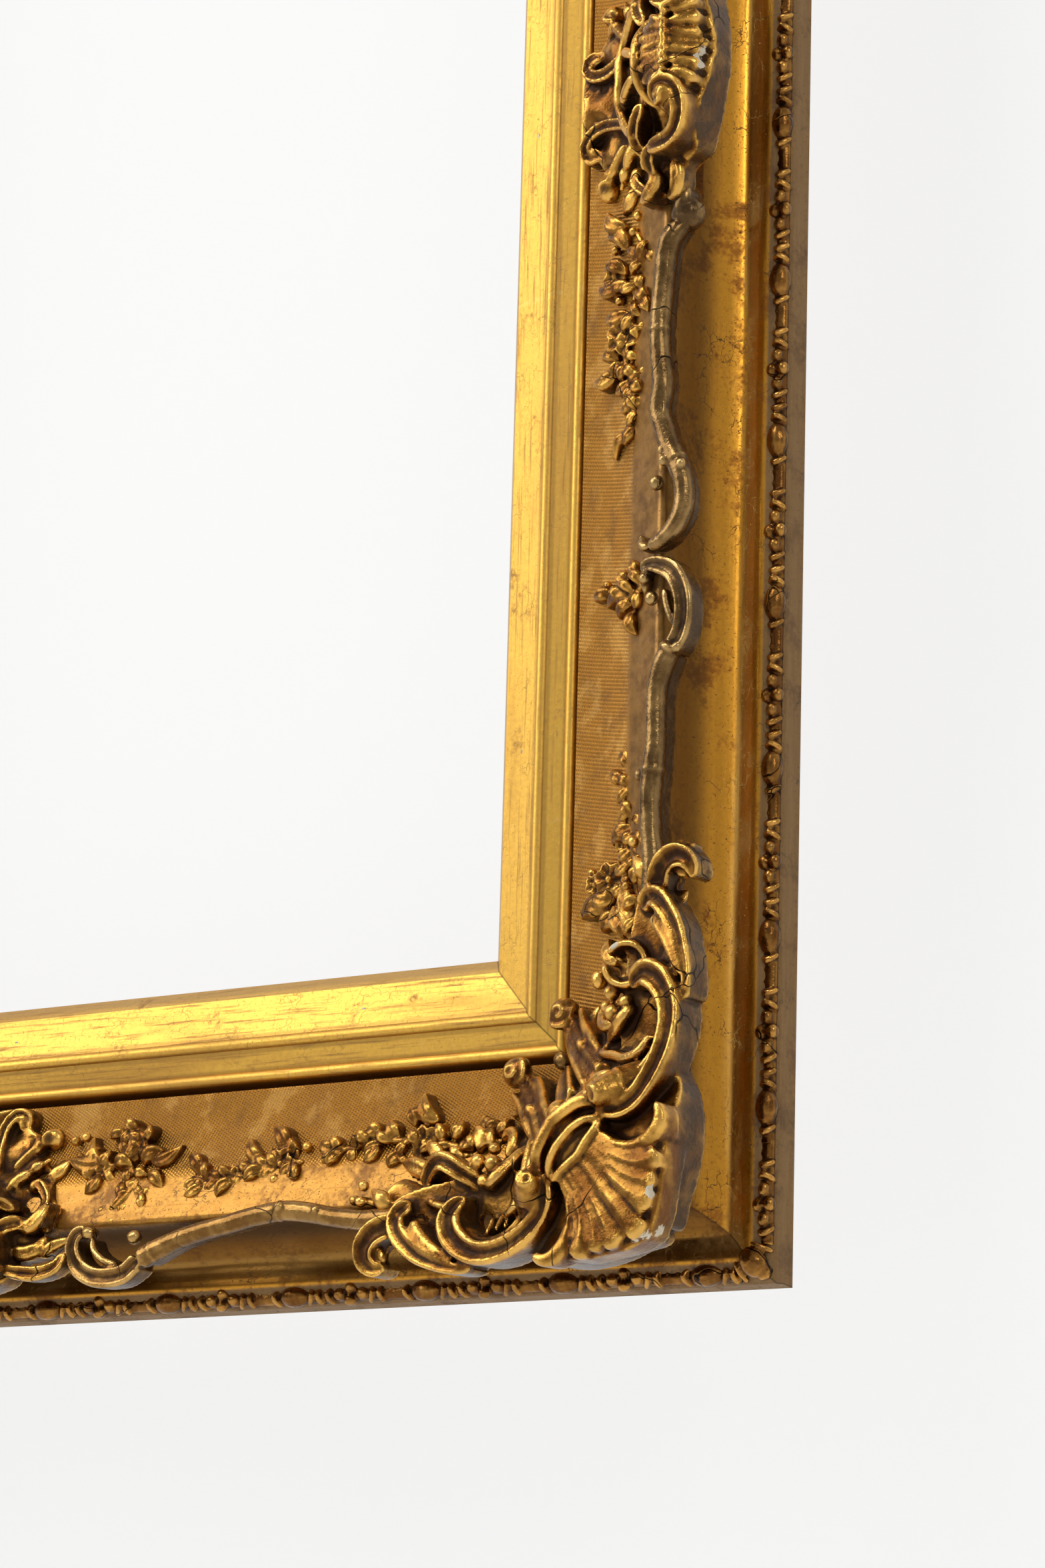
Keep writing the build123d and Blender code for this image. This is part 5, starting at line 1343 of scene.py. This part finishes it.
# Sprays of leaves and flowers that lie on the netted panel; each row is a leaf from stem to tip
sprays = {
    "stileLeaves": [
        ((65.5, 461.6, 44), (78.7, 471.4, 39), 3.4, -0.2), ((65.1, 449.9, 44), (79.2, 459.1, 39), 3.2, 0.25),
        ((55.5, 441.5, 46), (65.1, 449.4, 44), 2.6, 0.2), ((54, 443, 47), (50.6, 451.4, 47), 2.2, -0.2),
        ((66, 440, 43), (79.6, 444.1, 40), 3.0, 0.2), ((66, 436, 43), (84.1, 438, 38), 2.8, -0.2),
        ((62, 432, 44), (77, 431.2, 40), 2.6, 0.2), ((55.6, 431, 46), (48.6, 425, 50), 3.0, 0.15),
        ((56, 424, 46), (48.5, 417.4, 50), 2.8, -0.2), ((62.6, 421.4, 45), (78.9, 423.4, 39), 3.2, -0.15),
        ((69, 398.6, 42), (85.9, 395.9, 37.6), 3.4, -0.25), ((69, 401, 42), (79.6, 403.4, 39.6), 2.6, 0.2),
        ((66, 399, 43), (71.9, 393.4, 41), 2.4, 0.2), ((64.6, 396, 44), (59.6, 390.6, 45), 2.4, -0.2),
        ((61, 391, 44), (71.4, 387.4, 40.6), 2.8, -0.2), ((58.4, 389, 45), (52.4, 384.6, 47), 2.6, 0.1),
        ((59.6, 383, 44), (67.4, 377.2, 41.6), 2.6, -0.2), ((57.6, 384, 45), (56.8, 376.4, 45), 2.4, 0.2),
        ((57.6, 364.6, 43), (71.6, 357, 38.8), 2.4, 0.3), ((56.6, 369, 44), (66.6, 368.6, 41), 2.0, -0.2),
        ((55.4, 292, 47), (72.9, 290.6, 40.6), 3.2, 0.2), ((56, 296, 47), (71.5, 298.4, 40.6), 3.0, -0.15),
        ((70, 294.6, 41), (82, 295.4, 38), 2.8, 0.2), ((55.6, 289, 47), (64.6, 284, 43), 2.8, 0.2),
        ((57, 300, 46), (64.6, 306, 43), 3.0, -0.2), ((54, 286, 48), (51.6, 274.4, 48), 2.6, 0.2),
        ((54.6, 299, 48), (57.6, 308.6, 46), 2.4, 0.2), ((57.8, 217.4, 43), (66, 224.6, 39.6), 3.0, 0.25),
        ((58.4, 214.6, 43), (69, 219.4, 39.6), 2.6, -0.2), ((56.4, 210.4, 44), (64, 212.6, 41.6), 2.2, 0.2),
        ((54.6, 196.6, 46), (61.6, 201.4, 43.6), 2.8, 0.2),
        ((53.8, 192.6, 46), (65.6, 193.6, 41.8), 3.0, -0.2),
        ((53.6, 188.6, 46), (66.4, 185.4, 41.6), 3.0, 0.2),
        ((52.6, 189.6, 46), (48.4, 181.4, 48), 2.6, -0.2), ((54, 183, 46), (62.4, 179.6, 43), 2.8, -0.2),
        ((66.4, 158.4, 42.6), (85.2, 156.4, 37.6), 4.2, 0.15), ((62.4, 156, 43), (70.6, 148.4, 41), 3.6, 0.1),
        ((60.4, 153.6, 44), (56.6, 148, 46), 2.8, -0.1), ((64, 163, 43), (77.4, 166.6, 40), 3.0, -0.2),
        ((50, 167.4, 50), (46.4, 173.4, 52), 2.4, 0.1)],
    "stileStems": [
        [(58.6, 457, 46, 1.3), (53, 446, 47, 1.6), (56, 438, 45, 1.5), (60, 427, 44, 1.5), (61, 415, 44, 1.4),
         (65, 403, 43, 1.5), (62, 393, 44, 1.4), (59, 382, 44, 1.3), (56, 372, 44, 1.2), (58, 364, 43, 0.9)],
        [(46, 296, 52, 1.6), (51, 294, 49, 1.6), (58, 292.6, 46, 1.5), (66, 293.4, 43, 1.1)],
        [(57.8, 216, 43, 1.1), (55.6, 206, 44, 1.5), (53.6, 196, 46, 1.5), (53, 184, 46, 1.6),
         (55.6, 172, 46, 1.6), (56, 162, 48, 1.7), (50, 154, 51, 1.8), (46, 147, 53, 1.9)],
        [(60.4, 161.4, 45, 1.5), (56.8, 155.7, 48, 1.6), (49.7, 148.6, 52, 1.6)],
        [(41, 160.1, 54, 1.6), (43.4, 154, 54.6, 1.7), (44.8, 147, 54, 1.6)]],
    "stileFlowers": [((66.4, 411, 43.6), 9.2, 6, 0.4), ((72.6, 440, 41.6), 6.2, 5, 0.9),
                     ((67, 171, 42.4), 8.6, 6, 0.2), ((76, 170, 40.4), 5.6, 5, 0.7),
                     ((59.6, 186, 43.4), 5.0, 5, 0.5)],
    "stileBerries": [(58.7, 464.5, 45.4, 2.4), (60.9, 457.6, 45.4, 2.3), (66.5, 474, 41.4, 2.2),
                     (73.5, 452.6, 40.6, 2.3), (70.1, 428.6, 41.6, 2.2), (54.4, 413.6, 46, 2.2),
                     (61.3, 396.4, 44, 2.0), (53.4, 393, 46.4, 1.9), (64.2, 302.6, 43, 2.4),
                     (73.9, 301.4, 40, 2.0), (50.6, 291, 49, 2.4), (57.4, 221.6, 42.6, 2.0),
                     (48.4, 177.2, 48.6, 2.4), (53.2, 176.4, 46.6, 2.3), (61.5, 173.6, 44.4, 2.2),
                     (47.4, 168.1, 51.6, 2.6), (53.6, 165.6, 49.6, 2.4), (79.1, 175.4, 38.8, 2.3)],
    "railLeaves": [
        ((74, 155, 41), (87.4, 165.4, 37.2), 3.6, 0.2), ((66, 147, 43), (73.6, 142.4, 40), 3.0, -0.2),
        ((63.4, 138, 44), (58.6, 132.6, 46), 3.2, 0.2), ((68, 175, 42), (76.4, 181, 39.4), 3.2, 0.15),
        ((68, 186, 42), (72.6, 194, 40), 3.2, -0.2), ((66, 186, 43), (58, 192.6, 44.4), 2.8, 0.2),
        ((66.4, 196, 42), (70.6, 202, 40.6), 2.4, 0.1), ((63, 205, 43), (56.4, 211.4, 45), 2.8, -0.2),
        ((66, 208, 42.4), (69.6, 219.6, 40), 3.2, 0.2), ((61, 171, 44), (53.6, 177, 46), 3.0, -0.1),
        ((72, 168, 41), (80.6, 172.6, 38.6), 3.0, -0.2), ((57, 164, 46), (49.6, 158.6, 48), 2.6, 0.1),
        ((62.6, 230, 43), (75.6, 240.6, 39), 4.0, 0.12), ((62.6, 236, 43), (77.4, 247.6, 39), 3.6, -0.15),
        ((59, 244, 44), (66.6, 255.6, 41.6), 3.4, 0.2), ((57, 246, 45), (52, 257, 46.6), 3.0, -0.2),
        ((58, 233, 45), (50.6, 228, 47.6), 3.0, 0.2), ((63, 249, 43), (73, 259.6, 39.8), 3.0, 0.2),
        ((54, 262, 46), (45.6, 270, 49.6), 2.8, -0.2), ((55.6, 268, 45), (60, 280, 43.4), 3.0, 0.2),
        ((54, 280, 46), (47.6, 290, 48.6), 2.6, 0.1), ((56.4, 284, 45), (66.6, 293.6, 41.8), 3.2, -0.2),
        ((66, 338, 43), (70, 366, 41), 3.4, 0.1), ((66, 344, 43), (79.6, 353, 38.6), 3.0, 0.2),
        ((65, 337, 43), (64, 325, 43.6), 2.8, 0.2), ((62, 345, 44), (52, 350, 47), 3.2, 0.2),
        ((66, 352, 43), (74, 348, 40), 2.6, 0.1), ((58, 329, 44), (49, 325, 47), 2.6, -0.2),
        ((68, 334, 42.4), (81.2, 327, 38.4), 3.2, -0.3), ((64, 320, 43), (70.2, 309.2, 41), 3.2, 0.2),
        ((66, 316, 42.6), (72.4, 299.4, 40.2), 3.0, -0.2), ((58, 316, 44.6), (52, 304, 46.6), 3.0, 0.2),
        ((56, 322, 45), (42, 333.6, 50), 2.4, 0.1), ((50, 318, 47), (42.2, 313, 49.6), 2.4, 0.2)],
    "railStems": [
        [(61, 140, 45, 1.7), (63.4, 150, 44, 1.7), (65, 162, 43.4, 1.6), (66.6, 178, 42.6, 1.5),
         (66, 192, 42.6, 1.4), (64, 206, 43, 1.3), (63, 216, 43, 1.0)],
        [(75.5, 132.5, 38.6, 1.2), (70.4, 131, 41, 1.7), (66.6, 126, 42.6, 1.9), (65.6, 118, 43, 1.6)],
        [(60, 226, 44.4, 1.4), (60, 238, 44.4, 1.6), (58, 252, 45, 1.6), (55.4, 266, 45.6, 1.5),
         (54.6, 280, 46, 1.3), (57, 290, 45, 0.9)],
        [(72, 362, 40, 1.3), (66, 352, 43, 1.6), (65, 340, 43, 1.7), (63, 328, 43.4, 1.7), (57, 320, 45, 1.6),
         (51, 322, 47, 1.4), (44, 326, 49.6, 1.1)],
        [(65, 333.5, 43, 1.6), (68.4, 324, 41.6, 1.8), (75, 321.4, 39.8, 1.8), (80.8, 327.4, 38.4, 1.6),
         (79.6, 334.2, 38.6, 1.3), (75, 335.4, 39.6, 1.0)]],
    "railFlowers": [((64.4, 159.5, 43.6), 8.6, 6, 0.3), ((59.6, 238, 44.6), 8.2, 6, 0.6),
                    ((63.4, 346, 43.4), 7.4, 5, 0.2), ((55.6, 262, 45.6), 5.2, 5, 0.4)],
    "railBerries": [(61.2, 137.8, 45, 3.0), (59, 152, 45.6, 2.4), (70.6, 151, 42, 2.2),
                    (57.4, 170, 45.8, 2.2), (66.8, 226, 42.6, 2.4), (69, 241, 41.4, 2.3),
                    (52.6, 240, 47, 2.4), (60.6, 262, 43.8, 2.2), (51.4, 276, 47, 2.3),
                    (73.6, 351.6, 40.2, 2.5), (78.2, 364.8, 38.8, 2.5), (79.6, 358.5, 38.6, 2.4),
                    (38.1, 328.5, 51.6, 2.4), (43.6, 336.9, 50, 2.2), (51.3, 313, 47, 2.4)],
    "voxel": 0.6,
}


def sprayShapes(stem):
    shapes = []
    dice = random.Random(21)
    for start, end, wide, bend in sprays[stem + "Leaves"]:
        shapes.append(leaf(start, end, wide * 1.16, 2.6, bend, 9))
    for rows in sprays[stem + "Stems"]:
        shapes.append(stroke(rows, "round", 1.8, 8, (1, 2)))
        line = smoothPath(rows, 7.5)
        for i in range(1, len(line) - 1):
            u, v, h = line[i, :3]
            lean = (0.75 if i % 2 else -0.75) * dice.uniform(0.7, 1.5)
            heading = math.atan2(line[i + 1, 1] - v, line[i + 1, 0] - u) + lean
            reach = dice.uniform(7.0, 10.6)
            tip = (u + reach * math.cos(heading), v + reach * math.sin(heading), h - dice.uniform(-0.6, 1.4))
            shapes.append(leaf((u, v, h + 0.4), tip, dice.uniform(2.3, 3.1), 2.2, dice.uniform(-0.25, 0.25),
                               8))
    for place, reach, petals, turn in sprays[stem + "Flowers"]:
        shapes += flower(place, reach, petals, turn)
        u, v, h = place
        shapes.append(stroke([(u, v - 1, h - 1, 1.8), (u, v + 1, h - 1, 1.8)], "round", 1, 9, (0, 0)))
    for u, v, h, size in sprays[stem + "Berries"]:
        shapes.append(blob((u, v, h), (size, size, size)))
        foot = [(u - 0.8, v, h - 0.5, size * 0.6), (u + 0.8, v, h - 0.5, size * 0.6)]
        shapes.append(stroke(foot, "round", 0.5, 8, (0, 0)))
    return shapes


def buildSprays():
    first = carve("stile_spray", sprayShapes("stile"), sprays["voxel"], 1, "carving", deep=52)
    fourQuarters(first, "stile_spray", "gilt_composition", "stile_spray")
    first = carve("rail_spray", swapped(sprayShapes("rail")), sprays["voxel"], 1, "carving", deep=52)
    fourQuarters(first, "rail_spray", "gilt_composition", "rail_spray")
    print("sprays carved")


buildCentres()
buildBranches()
buildSprays()


# Bead strip: four berries in a husk, a reel, a long bead, and again
beadRun = {"repeat": 69.1, "voxel": 0.62, "seat": (5.2, 12.4), "corner": (9.4, 9.4, 15.4), "endGaps": 16,
           "copies": {"right": 14, "left": 14, "bottom": 11, "top": 11}}


def beadUnit():
    u, h = beadRun["seat"]
    shapes = [stroke([(u, v, h - 0.4, 3.3) for v in (-1, 23, 47, 70.2)], "round", 2.6, 4, (0, 0))]
    for v, across in ((9.2, 0), (15.2, -2.7), (15.2, 2.7), (21.2, 0)):
        shapes.append(blob((u + across, v, h + 2.1), (2.8, 3.1, 2.7)))
    shapes.append(blob((u, 15.2, h + 3.4), (1.1, 1.1, 1.1)))
    for v, bow in ((4.6, 1.8), (26, -1.8), (31.4, 1.2), (45.2, 1.8), (63.0, -1.8), (68.0, 1.2)):
        shapes.append(stroke([(u - 4.2, v + bow, h - 0.6, 1.1), (u - 2.4, v, h + 2.0, 1.4),
                              (u, v - bow * 0.7, h + 3.3, 1.5), (u + 2.3, v, h + 1.7, 1.15),
                              (u + 4.2, v + bow, h - 0.6, 1.0)], "rod",
                              ends=(0.8, 0.8)))
    shapes.append(blob((u, 54, h + 1.2), (4.9, 7.6, 4.6)))
    for v in (35.6, 40.6):
        shapes.append(blob((u + 1.6, v, h + 1.6), (1.0, 1.0, 0.8)))
    return shapes


def buildBeads():
    unitPiece = carve("beadUnit", beadUnit(), beadRun["voxel"], 1, "bead", convert=sideSpace)
    base = unitPiece.data
    count = len(base.vertices)
    place = np.empty(count * 3)
    base.vertices.foreach_get("co", place)
    place = place.reshape(-1, 3)
    faces = [tuple(p.vertices) for p in base.polygons]
    # The unit's painted highlight and shade values, copied to every bead
    paintedShading = {}
    for key in ("hollow", "depth"):
        paintedShading[key] = np.empty(count, np.float32)
        base.attributes[key].data.foreach_get("value", paintedShading[key])
    for side, copies in beadRun["copies"].items():
        whole = frameSize["height" if side in ("right", "left") else "width"]
        length = (whole - 2 * beadRun["corner"][0] - beadRun["endGaps"]) / 1000
        pitch = length / copies
        stretch = pitch * 1000 / beadRun["repeat"]
        spots = [place * (1, 1, stretch) + (0, 0, -length / 2 + pitch * i) for i in range(copies)]
        data = bpy.data.meshes.new(f"bead_strip_{side}_piece")
        cells = [tuple(k + i * count for k in face) for i in range(copies) for face in faces]
        data.from_pydata(np.vstack(spots).tolist(), [], cells)
        data.materials.append(finishes["bead"])
        data.polygons.foreach_set("use_smooth", [True] * len(data.polygons))
        for key, value in paintedShading.items():
            data.attributes.new(key, "FLOAT", "POINT").data.foreach_set("value", np.tile(value, copies))
        data.transform(sideMove(side))
        belong(linkObject(f"bead_strip_{side}_piece", data), "gilt_composition", f"bead_strip_{side}")
    bpy.data.objects.remove(unitPiece)
    u, v, h = beadRun["corner"]
    bud = [blob((u, v, h), (6.0, 7.2, 5.4), (1, 1, 0.1))]
    bud.append(stroke([(1.4, 13.6, 11.5, 1.1), (5.2, 15.4, 16.2, 1.3), (10.4, 17.6, 17, 1.1)], "rod",
                      ends=(1, 1)))
    bud.append(stroke([(13.6, 1.4, 11.5, 1.1), (15.4, 5.2, 16.2, 1.3), (17.6, 10.4, 17, 1.1)], "rod",
                      ends=(1, 1)))
    bud.append(stroke([(3, 3, 13, 3.4), (9, 9, 15, 3.4), (13, 13, 14.6, 3)], "round", 2, 3, (1, 1)))
    first = carve("bead_bud", bud, 0.7, 1, "bead")
    fourQuarters(first, "bead_bud", "gilt_composition", "bead_bud")
    print("beads laid")


buildBeads()
